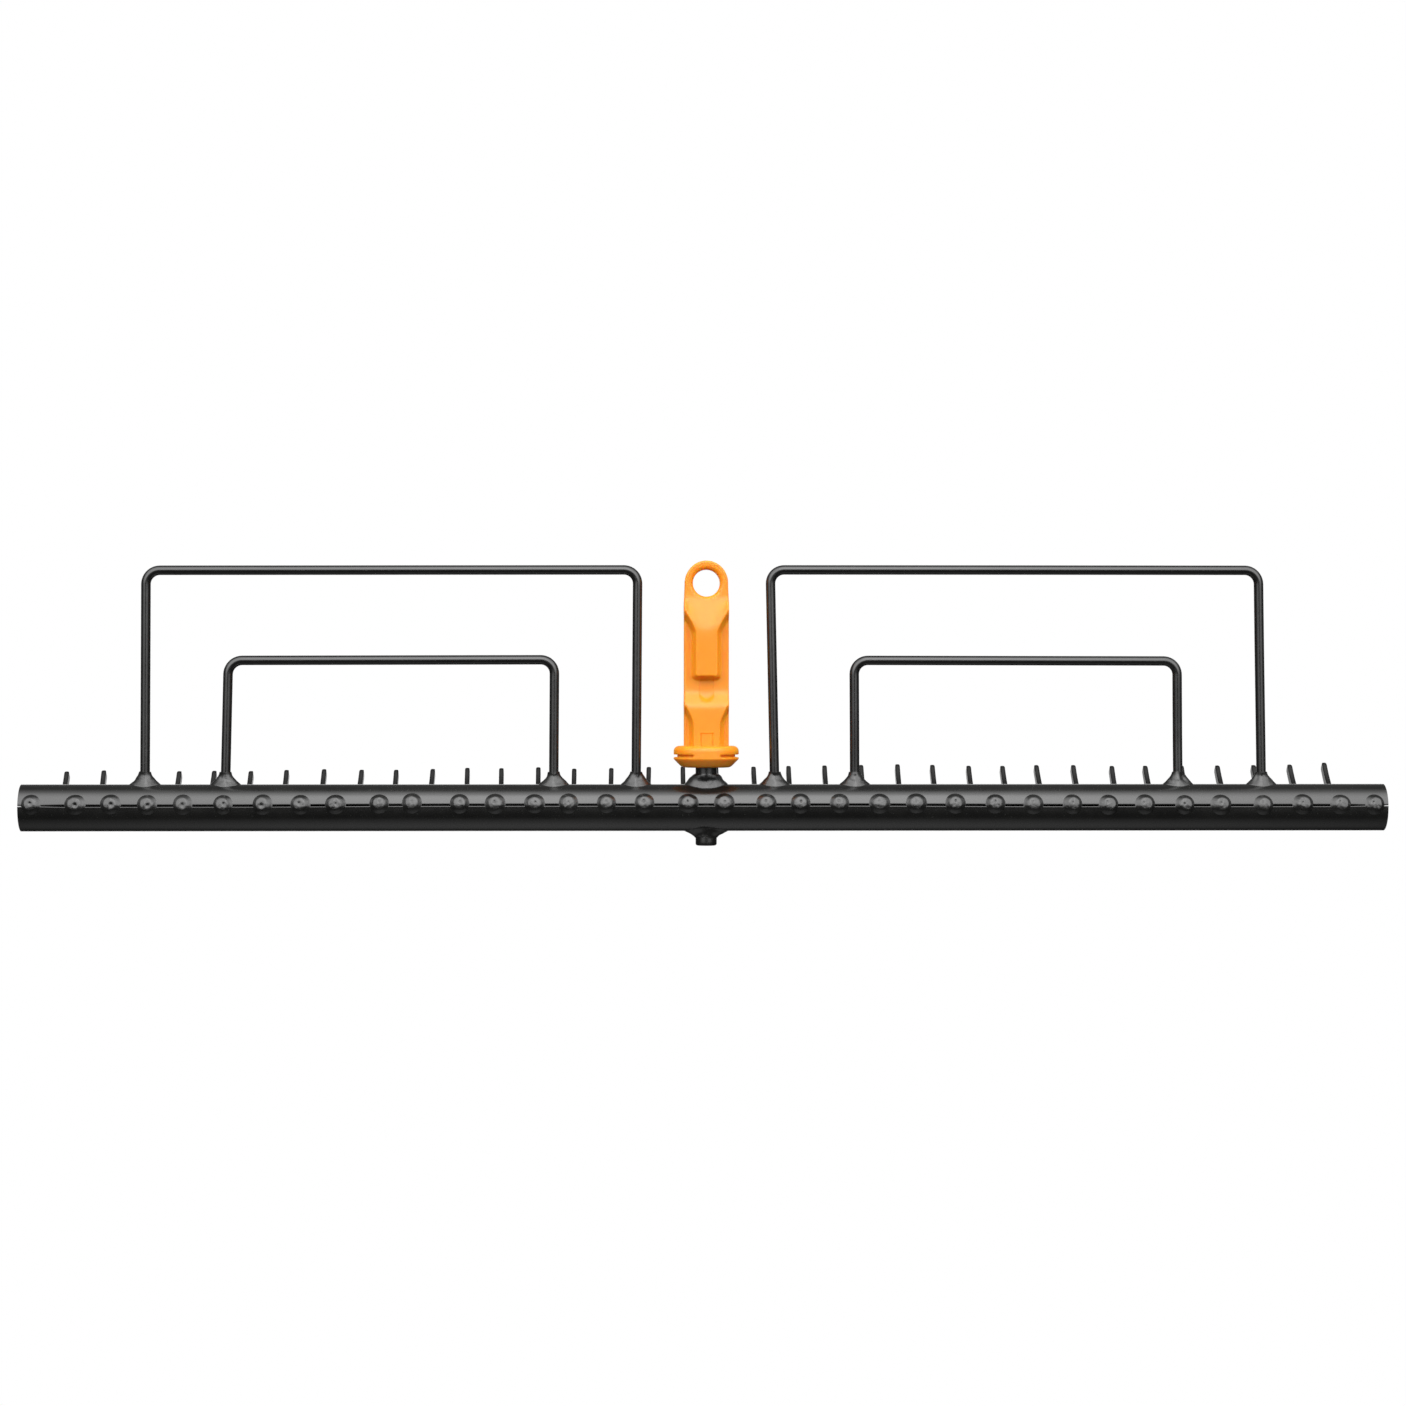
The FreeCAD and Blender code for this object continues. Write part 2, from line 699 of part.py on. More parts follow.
sheet = make_sheet()
tooth_count = round(measure("tooth_count"))
tube_space = make("Part::Cylinder", "tube_space", {
    "Radius": TUBE_RADIUS,
    "Height": TUBE_LENGTH,
    "Placement.Base.x": f"-{TUBE_LENGTH} / 2",
})
tube_space.Placement = FreeCAD.Placement(FreeCAD.Vector(), FreeCAD.Rotation(FreeCAD.Vector(0, 1, 0), 90))

make_tube()
for tooth in range(1, tooth_count + 1):
    make_tooth(tooth)
quarter = math.ceil(tooth_count / 4)
for index, place in enumerate(("left_end", "left_middle", "right_middle", "right_end")):
    first = index * quarter + 1
    make_tooth_welds(place, range(first, min(first + quarter, tooth_count + 1)))
for place, side in (("left", "-1"), ("right", "1")):
    make_hoop(f"outer_hoop_{place}", side, "outer_hoop_span", "outer_hoop_height")
    make_hoop(f"inner_hoop_{place}", side, "inner_hoop_span", "inner_hoop_height")
make_hoop_welds()
make_stud()
make_stud_welds()
make_adapter()

document.recompute()
check_document()
os.makedirs("parts", exist_ok=True)
for label, item in nodes.items():
    item.Shape.exportStep(f"parts/{label}.step")
    print(label, len(item.Shape.Solids), "solid", round(item.Shape.Volume, 2), "cubic mm")
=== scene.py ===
import math

import bmesh
import bpy
import numpy as np
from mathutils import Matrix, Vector


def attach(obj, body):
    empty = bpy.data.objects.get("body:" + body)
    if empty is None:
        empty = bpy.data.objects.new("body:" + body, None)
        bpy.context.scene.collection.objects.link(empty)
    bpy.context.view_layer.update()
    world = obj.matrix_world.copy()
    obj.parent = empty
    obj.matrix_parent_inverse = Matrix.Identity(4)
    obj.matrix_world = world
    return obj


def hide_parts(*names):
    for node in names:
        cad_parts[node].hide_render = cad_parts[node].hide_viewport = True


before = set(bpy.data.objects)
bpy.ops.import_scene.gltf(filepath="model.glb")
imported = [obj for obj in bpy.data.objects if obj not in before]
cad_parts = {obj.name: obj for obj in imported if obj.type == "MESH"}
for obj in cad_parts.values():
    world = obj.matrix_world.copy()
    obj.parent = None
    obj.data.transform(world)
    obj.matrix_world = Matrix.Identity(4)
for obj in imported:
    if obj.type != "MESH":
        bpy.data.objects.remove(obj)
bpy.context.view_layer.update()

# Head of a lawn rake. +X runs along the tube, +Z up the handle, and the teeth leave the tube towards +Y.
# The sizes below are in millimetres and radians, and every mesh is turned into metres as it is made.
MM = 0.001
MERGE_DISTANCE = 0.002

TUBE_LENGTH = 640.0
TUBE_RADIUS = 11.0
TUBE_WALL = 1.5
TUBE_DROP = 29.0
SEAM_GAP = 0.7
SEAM_ANGLE = math.radians(8.3)
SEAM_FALL = 0.032
SEAM_FALL_LEFT = (130, 220)
SEAM_FALL_RIGHT = (60, 170)
LIP_ROUNDING = 0.22
LIP_LIFT = 0.2
LIP_LIFT_REACH = 1.0
LIPS_DRAWN_SHARE = 0.8
LIPS_DRAWN_REACH = 2.0
LIPS_DRAWN = (TUBE_LENGTH / 2 - 20, TUBE_LENGTH / 2 - 10)
LIPS_PARTING = (TUBE_LENGTH / 2 - 5, TUBE_LENGTH / 2)
LIPS_PARTING_SHARE = 0.4

TOOTH_WIRE = 4.0
TOOTH_THICKNESS = 2.3
TOOTH_WIDTH = 5.0
TOOTH_ROOT = -9.0
TOOTH_STRAIGHT = 42.0
TOOTH_BEND_RADIUS = 58.0
TOOTH_BEND_ANGLE = math.radians(57.5)
TOOTH_ROUND_END = 15.0
TOOTH_FLAT_START = 23.0
TOOTH_PITCH = 17.9
TOOTH_COUNT = 36

# The range that each tooth weld's sizes are drawn from
WELD_HALF_WIDTHS = (4.5, 5.0)
WELD_HALF_HEIGHTS = (4.65, 5.0)
WELD_RISES = (0.7, 1.1)
WELD_TOPS = (1.03, 1.27)
CRATER_DRIFTS = (-0.45, 0.45)
CRATER_REACHES = (0.4, 0.75)
CRATER_DEPTHS = (0.15, 0.45)
# Values that the tooth welds share, where the tube's ends start to change them and where the change is full,
# and how much some sizes change towards the left and right end
CRATER_RISE = 0.6
WELD_CAP = 0.35
WELD_FLANK = 0.45
WELD_SOFTNESS = 0.12
WELD_RIPPLE_SIZES = (4.0, 1.7)
WELD_RIPPLES = (0.07, 0.056)
NEAR_LEFT = (150, 200)
NEAR_RIGHT = (120, 190)
RISE_CHANGES = (-0.1, -0.4)
TOP_CHANGES = (-0.15, 0)
FLANK_CHANGES = (0.091, -0.13)
CRATER_SIDE_CHANGES = (0, -0.4)
CRATER_RISE_CHANGES = (-0.8, 0)
CRATER_REACH_CHANGES = (0.35, 0)
CRATER_DEPTH_CHANGES = (0.2, 0)

HOOP_WIRE = 4.5
HOOP_BEND_RADIUS = 6.5
HOOP_SPANS = {"outer": 230, "inner": 153}
HOOP_HEIGHTS = {"outer": 111.5, "inner": 69.2}
# Each hoop's feet across, its bar's ends across and its bar's height at either end, as in the photograph
HOOP_PLACES = {
    ("outer", "left"): ((-262.5, -32.9), (-262.0, -32.2), (111.1, 111.6)),
    ("outer", "right"): ((32.2, 262.1), (30.1, 260.6), (111.7, 111.8)),
    ("inner", "left"): ((-225.0, -71.55), (-223.7, -71.2), (69.0, 69.4)),
    ("inner", "right"): ((69.9, 222.6), (69.6, 222.1), (69.2, 69.0))}
SWAY_LENGTHS = (160, 70)
SWAY_REACHES = (0.35, 0.2)
SWAY_START = 20
HOOP_SEEDS = {("outer", "left"): 20, ("inner", "left"): 30, ("outer", "right"): 22, ("inner", "right"): 32}

STUD_RADIUS = 5.0
STUD_EDGE = 1.0
STUD_BOTTOM = -17.8
STUD_TOP = TUBE_DROP + 17.0

# Beads round a wire or bar: full sizes at the foot, the length at half the height, the thickness at the
# neck, the power of the outline and how far the sides swell near the top
HOOP_BEAD = {"length": 14.5, "width": 9.5, "height": 5.8, "waist": 8.6, "neck": 5.6,
             "round": 1.6, "roll": 0.0}
UPPER_STUD_WELD = {"length": 20.5, "width": 12.6, "height": 5.0, "waist": 16.4, "neck": 10.6,
                   "round": 1.75, "roll": 0.75}
LOWER_STUD_WELD = {"length": 20.5, "width": 13.4, "height": 3.0, "waist": 14.6, "neck": 10.6,
                   "round": 1.8, "roll": 0.0}
BEAD_FLARE = 3
BEAD_ROLL = (0.4, 0.95)
BEAD_SINK = 1.6
BEAD_LUMP_SIZES = (6.0, 2.6)
BEAD_LUMPS = (0.5, 0.16)
BEAD_TOP_LUMP = 0.25

PLATE_LEVEL = 4.5
RIB_LEVEL = 9.0
TONGUE_REACH = 10.5
ARCH_REACH = 10.15
TONGUE_TOP = 86.9
EYE_HEIGHT = 76.4
EYE_RADIUS = 6.35
EYE_ROUNDING = 2.0
EDGE_ROUNDING = 0.8
HEAD_FOOT = 62.0
NARROWING_FOOT = 66.0
TONGUE_FOOT = -3.5
RIB_BOTTOM = 32.1
FLANGE_RADIUS = 15.3
FLANGE_FOOT = -10.1


def add_piece(name, points, faces, material, nodes, sharp=35.0, merge=False):
    """Puts a closed mesh into the scene, its faces outwards, in the place of CAD nodes.

    The signed volume is a sixth of the sum of each triangle's triple product; where it is negative
    every face is turned round.
    """
    triangles = np.array([(face[0], face[corner], face[corner + 1])
                          for face in faces for corner in range(1, len(face) - 1)])
    first, second, third = (points[triangles[:, corner]] for corner in range(3))
    if np.einsum("ij,ij->i", first, np.cross(second, third)).sum() < 0:
        faces = [face[::-1] for face in faces]
    mesh = bpy.data.meshes.new(name)
    mesh.from_pydata((points * MM).tolist(), [], faces)
    if merge:
        joined = bmesh.new()
        joined.from_mesh(mesh)
        bmesh.ops.remove_doubles(joined, verts=joined.verts, dist=MERGE_DISTANCE * MM)
        joined.to_mesh(mesh)
        joined.free()
    mesh.validate()
    mesh.shade_smooth()
    mesh.set_sharp_from_angle(angle=math.radians(sharp))
    mesh.materials.append(material)
    piece = bpy.data.objects.new(name, mesh)
    bpy.context.scene.collection.objects.link(piece)
    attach(piece, "root")
    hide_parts(*nodes)


def grid_faces(rows, columns):
    """Quads between neighbouring points of a grid whose columns close on themselves."""
    start = np.arange(rows - 1)[:, None] * columns
    column = np.arange(columns)[None, :]
    after = (column + 1) % columns
    beyond = start + columns
    corners = np.broadcast_arrays(start + column, start + after, beyond + after, beyond + column)
    return np.stack(corners, -1).reshape(-1, 4).tolist()


def closed_shell(rings, poles=True):
    """A stack of closed rings as one shell, ended by a point in each end ring's middle, or by one face."""
    rows, columns = rings.shape[:2]
    points = rings.reshape(-1, 3)
    faces = grid_faces(rows, columns)
    last = (rows - 1) * columns
    if poles:
        points = np.vstack([points, rings[0].mean(axis=0), rings[-1].mean(axis=0)])
        first_pole, last_pole = rows * columns, rows * columns + 1
        for column in range(columns):
            after = (column + 1) % columns
            faces.append([after, column, first_pole])
            faces.append([last + column, last + after, last_pole])
    else:
        faces.append(list(range(columns))[::-1])
        faces.append(list(range(last, last + columns)))
    return points, faces


def join_shells(shells):
    """Several shells as one set of points and faces."""
    points, faces, start = [], [], 0
    for shell_points, shell_faces in shells:
        points.append(shell_points)
        faces.extend([[corner + start for corner in face] for face in shell_faces])
        start += len(shell_points)
    return np.vstack(points), faces


def carry(path, tangents, side, profiles):
    """Carries a profile along a path that lies in a plane.

    Each point is the path's point, plus the profile's first coordinate along the fixed side direction,
    plus its second coordinate along the direction square to both the side and the tangent.
    """
    tangents = tangents / np.linalg.norm(tangents, axis=1, keepdims=True)
    across = np.cross(np.broadcast_to(side, tangents.shape), tangents)
    across /= np.linalg.norm(across, axis=1, keepdims=True)
    return path[:, None, :] + profiles[..., :1] * np.asarray(side) + profiles[..., 1:] * across[:, None, :]


def ripple(points, seed, sizes, strengths):
    """Smooth unevenness between about -1 and 1: a sum of sine waves in directions drawn from a seed."""
    draw = np.random.default_rng(seed)
    total = np.zeros(points.shape[:-1])
    for size, strength in zip(sizes, strengths):
        for _ in range(4):
            direction = draw.normal(size=3)
            direction /= np.linalg.norm(direction)
            phase = draw.uniform(0, 2 * math.pi)
            total += strength / 4 * np.sin(points @ direction * 2 * math.pi / size + phase)
    return total


def smooth_step(value, low, high):
    """Rises from 0 at the low value to 1 at the high one, level at both."""
    share = np.clip((value - low) / (high - low), 0, 1)
    return share * share * (3 - 2 * share)


def soft_ramp(value, softness):
    """A straight rise from 0 at 0 to 1 at 1, its corners rounded: the difference of two hyperbolas."""
    def bend(from_corner):
        return (from_corner + np.sqrt(from_corner ** 2 + softness ** 2)) / 2
    return bend(value) - bend(value - 1)


TOOTH_PLACES = (np.arange(1, TOOTH_COUNT + 1) - (TOOTH_COUNT + 1) / 2) * TOOTH_PITCH

# How far each tooth's weld and tip are from an even pitch in the photograph, and each tip above the mean
WELD_DRIFTS = np.array([
    -0.5, 2.0, 0.48, -0.52, -1.95, -1.2, -0.75, -1.09, -2.77, -0.37, -3.09, 1.18,
    -0.21, 0.22, -1.85, -2.04, -2.23, 0.3, -0.74, 0.97, -0.94, -0.6, 0.31, -0.4,
    0.02, 0.83, 0.76, 1.17, 0.19, -0.55, 0.28, -0.62, 1.48, 2.19, 2.07, 0.24])
TIP_DRIFTS = np.array([
    -1.22, -0.85, 0.0, 0.67, 0.08, 0.3, 0.03, 0.76, 1.46, 0.68, 0.95, 0.18,
    -0.82, -0.37, -0.4, 0.17, 0.96, -0.04, -1.4, -0.61, -1.03, -0.94, -0.6, -0.27,
    -0.7, -0.46, -1.41, -2.31, -1.69, -0.21, -1.37, -1.1, -0.91, -0.6, -0.31, -0.82])
TIP_RISES = np.array([
    -1.95, -1.41, -1.6, -1.81, -1.62, -1.77, -1.23, -0.83, -1.13, -1.14, -0.74, -0.2,
    -0.35, 0.09, -0.61, -0.31, 0.23, 0.4, 0.2, 0.37, 0.71, 0.96, 1.2, 1.55,
    1.25, 0.79, 0.74, 1.13, 1.13, 0.68, 0.77, 0.9, 0.91, 1.1, 1.36, 2.3])
TIP_LIFT = 0.6
ROOT_SHARE = 0.6


def tube_section(count_near, count_far, count_inside):
    """The tube's wall as one closed loop: each point's angle from the seam's middle, and its radius.

    It runs from the upper lip over the top and round the back to the lower lip, with points close
    together near the lips, and back along the bore.
    """
    edge = SEAM_GAP / 2 / TUBE_RADIUS
    bore = TUBE_RADIUS - TUBE_WALL
    inset = 0.07
    band_reach = 6.8
    near = np.linspace(edge + LIP_ROUNDING / TUBE_RADIUS, band_reach / TUBE_RADIUS, count_near)
    far = np.linspace(near[-1], 2 * math.pi - near[-1], count_far + 2)[1:-1]
    outer = np.concatenate([near, far, 2 * math.pi - near[::-1]])
    upper_lip = np.array([[edge, bore + 0.1], [edge, TUBE_RADIUS - LIP_ROUNDING],
                          [edge + inset / TUBE_RADIUS, TUBE_RADIUS - inset]])
    lower_lip = np.stack([2 * math.pi - upper_lip[::-1, 0], upper_lip[::-1, 1]], 1)
    inner = np.linspace(2 * math.pi - edge, edge, count_inside)
    angles = np.concatenate([upper_lip[:, 0], outer, lower_lip[:, 0], inner])
    radii = np.concatenate([upper_lip[:, 1], np.full(len(outer), TUBE_RADIUS), lower_lip[:, 1],
                            np.full(len(inner), bore)])
    return angles, radii


def seam_turn(along):
    """The seam's angle above level, which falls a little towards the tube's ends."""
    fallen = smooth_step(-along, *SEAM_FALL_LEFT) + smooth_step(along, *SEAM_FALL_RIGHT)
    return SEAM_ANGLE - SEAM_FALL * fallen


def make_rolled_tube(material):
    """The rolled tube with its open seam.

    A point stands at its distance along the tube and its angle round it, at the section's radius. The lower
    lip stands slightly proud by a narrow bell. Near the tube's ends the lips draw together by a bell round
    the seam, and part again a little at the very end.
    """
    stations = np.linspace(-TUBE_LENGTH / 2, TUBE_LENGTH / 2, 161)
    angles, radii = tube_section(15, 40, 14)
    along, angle = np.meshgrid(stations, angles, indexing="ij")
    arc = np.where(angle > math.pi, angle - 2 * math.pi, angle) * TUBE_RADIUS
    outside = radii > TUBE_RADIUS - TUBE_WALL / 2
    radius = radii + np.where(outside & (arc < 0), LIP_LIFT * np.exp(-(arc / LIP_LIFT_REACH) ** 2), 0)
    parting = LIPS_PARTING_SHARE * smooth_step(np.abs(along), *LIPS_PARTING)
    closing = LIPS_DRAWN_SHARE * smooth_step(np.abs(along), *LIPS_DRAWN) * (1 - parting)
    drawn = closing * SEAM_GAP / 2 * np.exp(-(arc / LIPS_DRAWN_REACH) ** 2) / TUBE_RADIUS
    facing = seam_turn(along) + angle - np.sign(arc) * drawn
    points = np.stack([along, -radius * np.cos(facing), radius * np.sin(facing) - TUBE_DROP], -1)
    points, faces = closed_shell(points, poles=False)
    add_piece("rolled_tube", points, faces, material, ["head_tube"])


def tooth_weld(place, draw):
    """A round weld over the seam at a tooth's root, with a small crater.

    The height over the tube is a low parabola plus a soft ramp in from the rim, by the distance from the
    middle as a share of the weld's reach, less a bell for the crater, plus a ripple. Towards the tube's
    ends the flank on the outer side is the steeper one. The rim is tucked under the tube's surface.
    """
    near_end = np.array([smooth_step(-place, *NEAR_LEFT), smooth_step(place, *NEAR_RIGHT)])
    half_width = draw.uniform(*WELD_HALF_WIDTHS)
    half_height = draw.uniform(*WELD_HALF_HEIGHTS)
    rise = draw.uniform(*WELD_RISES) + near_end @ RISE_CHANGES
    top = draw.uniform(*WELD_TOPS) + near_end @ TOP_CHANGES
    crater_side, crater_rise = draw.uniform(*CRATER_DRIFTS, 2)
    crater_side += near_end @ CRATER_SIDE_CHANGES
    crater_rise += CRATER_RISE + near_end @ CRATER_RISE_CHANGES
    crater_reach = draw.uniform(*CRATER_REACHES) + near_end @ CRATER_REACH_CHANGES
    crater_depth = draw.uniform(*CRATER_DEPTHS) + near_end @ CRATER_DEPTH_CHANGES

    around = np.linspace(0, 2 * math.pi, 44, endpoint=False)[None, :]
    shares = np.concatenate([np.linspace(1, 0.25, 14), [0.19, 0.14, 0.09, 0.04]])[:, None]
    across = shares * half_width * np.cos(around)
    up = shares * half_height * np.sin(around)
    flank = WELD_FLANK + near_end @ FLANK_CHANGES * np.cos(around)
    height = WELD_CAP * (1 - shares ** 2) + top * soft_ramp((1 - shares) / flank, WELD_SOFTNESS)
    height -= crater_depth * np.exp(-(np.hypot(across - crater_side, up - crater_rise) / crater_reach) ** 2)
    spots = np.stack([across + place, up, np.zeros(across.shape)], -1)
    seed = int(abs(place) * 10)
    height += ripple(spots, seed, WELD_RIPPLE_SIZES, WELD_RIPPLES) * np.sin(np.pi * shares)

    rim_drop, foot_drop, foot_share = 0.35, 1.0, 0.8
    up = up + rise
    rows = [(foot_share * across[:1], foot_share * up[:1], np.full((1, around.size), -foot_drop)),
            (across[:1], up[:1], np.full((1, around.size), -rim_drop)), (across, up, height)]
    across, up, height = (np.concatenate(parts) for parts in zip(*rows))
    facing = seam_turn(place) + up / TUBE_RADIUS
    radius = TUBE_RADIUS + height
    return closed_shell(np.stack([across + place, -radius * np.cos(facing),
                                  radius * np.sin(facing) - TUBE_DROP], -1))


def make_tooth_welds(material):
    """The round welds in four groups, as in the CAD."""
    draw = np.random.default_rng(11)
    middles = TOOTH_PLACES + WELD_DRIFTS
    quarter = TOOTH_COUNT // 4
    for group, name in enumerate(("left_end", "left_middle", "right_middle", "right_end")):
        places = middles[group * quarter:(group + 1) * quarter]
        points, faces = join_shells([tooth_weld(place, draw) for place in places])
        add_piece(f"tooth_weld_buttons_{name}", points, faces, material,
                  [f"tooth_welds_{name}"], sharp=60.0)


def make_tooth(number, material):
    """A spring tooth: round wire through the tube, pressed into a blade that bends up to a round tip.

    The section goes from a circle to two flats with round edges by a smooth step along the tooth. The
    path is a straight run and an arc, turned down by the seam's angle about the tube's axis. The tip's
    sideways drift and rise come in with the square of the way along it.
    """
    straight = np.concatenate([np.linspace(TOOTH_ROOT, TOOTH_ROUND_END, 5),
                               np.linspace(TOOTH_ROUND_END + 1, TOOTH_FLAT_START, 8),
                               np.linspace(TOOTH_FLAT_START + 3, TOOTH_STRAIGHT - 1, 5)])
    turned = np.linspace(0, TOOTH_BEND_ANGLE, 22)
    tip = np.linspace(0, math.pi / 2, 7)[1:-1]
    along = np.concatenate([straight, TOOTH_STRAIGHT + TOOTH_BEND_RADIUS * np.sin(turned)])
    up = np.concatenate([np.zeros(len(straight)), TOOTH_BEND_RADIUS * (1 - np.cos(turned))])
    heading = np.concatenate([np.zeros(len(straight)), turned])
    end = np.array([along[-1], up[-1]])
    ahead = np.array([math.cos(TOOTH_BEND_ANGLE), math.sin(TOOTH_BEND_ANGLE)])
    beyond = end + np.sin(tip)[:, None] * ahead * TOOTH_WIDTH / 2
    along = np.concatenate([along, beyond[:, 0]])
    up = np.concatenate([up, beyond[:, 1]])
    heading = np.concatenate([heading, np.full(len(tip), TOOTH_BEND_ANGLE)])
    narrowing = np.concatenate([np.ones(len(straight) + len(turned)), np.cos(tip)])

    around = np.linspace(0, 2 * math.pi, 20, endpoint=False)
    circle = np.stack([np.cos(around), np.sin(around)], -1) * TOOTH_WIRE / 2
    flat_share = 1.35
    blade = np.stack([np.clip(np.cos(around) * flat_share, -1, 1) * TOOTH_THICKNESS / 2,
                      np.sin(around) * TOOTH_THICKNESS / 2
                      + np.sign(np.round(np.sin(around), 6)) * (TOOTH_WIDTH - TOOTH_THICKNESS) / 2], -1)
    pressed = smooth_step(along, TOOTH_ROUND_END, TOOTH_FLAT_START)[:, None, None]
    profiles = circle * (1 - pressed) + blade * pressed
    profiles = profiles * np.stack([np.sqrt(narrowing), narrowing], -1)[:, None, :]

    turn = -SEAM_ANGLE
    path = np.stack([np.zeros(len(along)), along * math.cos(turn) - up * math.sin(turn),
                     along * math.sin(turn) + up * math.cos(turn)], -1)
    tangents = np.stack([np.zeros(len(along)), np.cos(heading + turn), np.sin(heading + turn)], -1)
    rings = carry(path, tangents, (1.0, 0.0, 0.0), profiles)
    way = np.clip(along / along[-1], 0, 1)[:, None] ** 2
    index = number - 1
    drift = WELD_DRIFTS[index] * ROOT_SHARE * (1 - way) + TIP_DRIFTS[index] * way
    rings[..., 0] += TOOTH_PLACES[index] + drift
    rings[..., 2] += (TIP_RISES[index] + TIP_LIFT) * way - TUBE_DROP
    points, faces = closed_shell(rings)
    add_piece(f"spring_tooth_{number:02d}", points, faces, material,
              [f"tooth_{number:02d}"], sharp=50.0)


def make_hoop(kind, place, material):
    """A hoop of round wire: a leg, a bend, the bar, a bend and a leg.

    The even hoop is warped: across, a point goes from between the feet to between the tops in line with
    its height, and its height is stretched to reach the bar's height at either end. A slow sine ripple
    sways it to the front and back.
    """
    span, height = HOOP_SPANS[kind], HOOP_HEIGHTS[kind]
    feet, tops, heights = HOOP_PLACES[kind, place]
    leg = span / 2
    inset = leg - HOOP_BEND_RADIUS
    shoulder = height - HOOP_BEND_RADIUS
    foot = TUBE_RADIUS - TUBE_WALL
    turned = np.linspace(0, math.pi / 2, 12)
    rise = np.linspace(foot, shoulder, 24)[:-1]
    bar = np.linspace(-inset, inset, 60)[1:-1]
    across = np.concatenate([np.full(len(rise), -leg), -inset - HOOP_BEND_RADIUS * np.cos(turned), bar,
                             inset + HOOP_BEND_RADIUS * np.sin(turned), np.full(len(rise), leg)])
    up = np.concatenate([rise, shoulder + HOOP_BEND_RADIUS * np.sin(turned), np.full(len(bar), height),
                         shoulder + HOOP_BEND_RADIUS * np.cos(turned), rise[::-1]])
    sideways = (across + leg) / span
    raised = (up - TUBE_RADIUS) / (height - TUBE_RADIUS)
    at_feet = feet[0] + (feet[1] - feet[0]) * sideways
    at_tops = tops[0] + (tops[1] - tops[0]) * sideways
    stretch = (heights[0] + (heights[1] - heights[0]) * sideways) / height
    path = np.stack([at_feet + (at_tops - at_feet) * raised, np.zeros(len(across)),
                     up * (1 + (stretch - 1) * np.clip(raised, 0, 1)) - TUBE_DROP], -1)
    sway = ripple(path, HOOP_SEEDS[kind, place], SWAY_LENGTHS, SWAY_REACHES)
    path[:, 1] += sway * np.clip((up - foot) / SWAY_START, 0, 1)
    tangents = np.gradient(path, axis=0)
    tangents[:, 1] = 0
    around = np.linspace(0, 2 * math.pi, 22, endpoint=False)
    circle = np.stack([np.cos(around), np.sin(around)], -1) * HOOP_WIRE / 2
    profiles = np.broadcast_to(circle, (len(path), *circle.shape))
    points, faces = closed_shell(carry(path, tangents, (0.0, 1.0, 0.0), profiles))
    add_piece(f"{kind}_wire_hoop_{place}", points, faces, material,
              [f"{kind}_hoop_{place}"])


def weld_bead(across, sizes, seed, upwards=True):
    """A bell-shaped bead on the tube's crest, laid round a wire or bar.

    Level by level it is an ellipse whose power may make it more pointed at the sides. Its half-length falls
    from the foot's to the neck's by the power that passes through the waist at half the height, its
    half-width by the flare's power of the way left, swelling again by the roll near the top, and a ripple
    pushes it in and out.
    """
    levels = np.linspace(0, 1, 18)[:, None]
    around = np.linspace(0, 2 * math.pi, 48, endpoint=False)[None, :]
    power = math.log((sizes["waist"] - sizes["neck"]) / (sizes["length"] - sizes["neck"])) / math.log(0.5)
    half_length = (sizes["neck"] + (sizes["length"] - sizes["neck"]) * (1 - levels) ** power) / 2
    half_width = (sizes["neck"] + (sizes["width"] - sizes["neck"]) * (1 - levels) ** BEAD_FLARE) / 2
    half_width += sizes["roll"] * smooth_step(levels, *BEAD_ROLL)
    pointed = 2 / sizes["round"]
    x = half_length * np.sign(np.cos(around)) * np.abs(np.cos(around)) ** pointed
    y = half_width * np.sign(np.sin(around)) * np.abs(np.sin(around)) ** pointed
    crest = np.sqrt(TUBE_RADIUS ** 2 - y ** 2)
    top = TUBE_RADIUS + sizes["height"]
    z = crest + (top - crest) * levels
    points = np.stack([x, y, z], -1)
    lumps = ripple(points + 40 * seed, seed, BEAD_LUMP_SIZES, BEAD_LUMPS)
    between = np.sin(np.pi * np.clip(levels, 0.08, 0.95))
    swell = 1 + (lumps * between / np.hypot(x, y))[..., None]
    points[..., :2] *= swell
    points[..., 2] += ripple(points + 17 * seed, seed + 1, (5.0,), (BEAD_TOP_LUMP,)) * (levels > 0.7)
    inside = points[0] * [0.93, 0.9, 1.0] - [0, 0, BEAD_SINK]
    cap = points[-1] * [0.55, 0.55, 1.0] + [0, 0, 0.05]
    points = np.concatenate([inside[None], points, cap[None]])
    if not upwards:
        points[..., 2] *= -1
    return closed_shell(points + [across, 0, -TUBE_DROP])


def make_hoop_welds(material):
    """The eight beads round the hoops' feet, as one piece."""
    feet = [foot for places in HOOP_PLACES.values() for foot in places[0]]
    points, faces = join_shells([weld_bead(foot, HOOP_BEAD, seed) for seed, foot in enumerate(feet, start=1)])
    add_piece("hoop_weld_beads", points, faces, material, ["hoop_welds"], sharp=60.0)


def make_stud_welds(material):
    """The beads round the stud above and below the tube."""
    for side, sizes, seed in (("upper", UPPER_STUD_WELD, 41), ("lower", LOWER_STUD_WELD, 43)):
        points, faces = weld_bead(0.0, sizes, seed, upwards=side == "upper")
        add_piece(f"stud_weld_bead_{side}", points, faces, material,
                  [f"stud_weld_{side}"], sharp=60.0)


def turned_piece(profile, columns):
    """A closed shell turned about the handle's axis from a run of (radius, height) points."""
    around = np.linspace(0, 2 * math.pi, columns, endpoint=False)
    radii, heights = np.asarray(profile).T
    rings = np.stack([radii[:, None] * np.cos(around), radii[:, None] * np.sin(around),
                      np.broadcast_to(heights[:, None], (len(radii), columns))], -1)
    return closed_shell(rings)


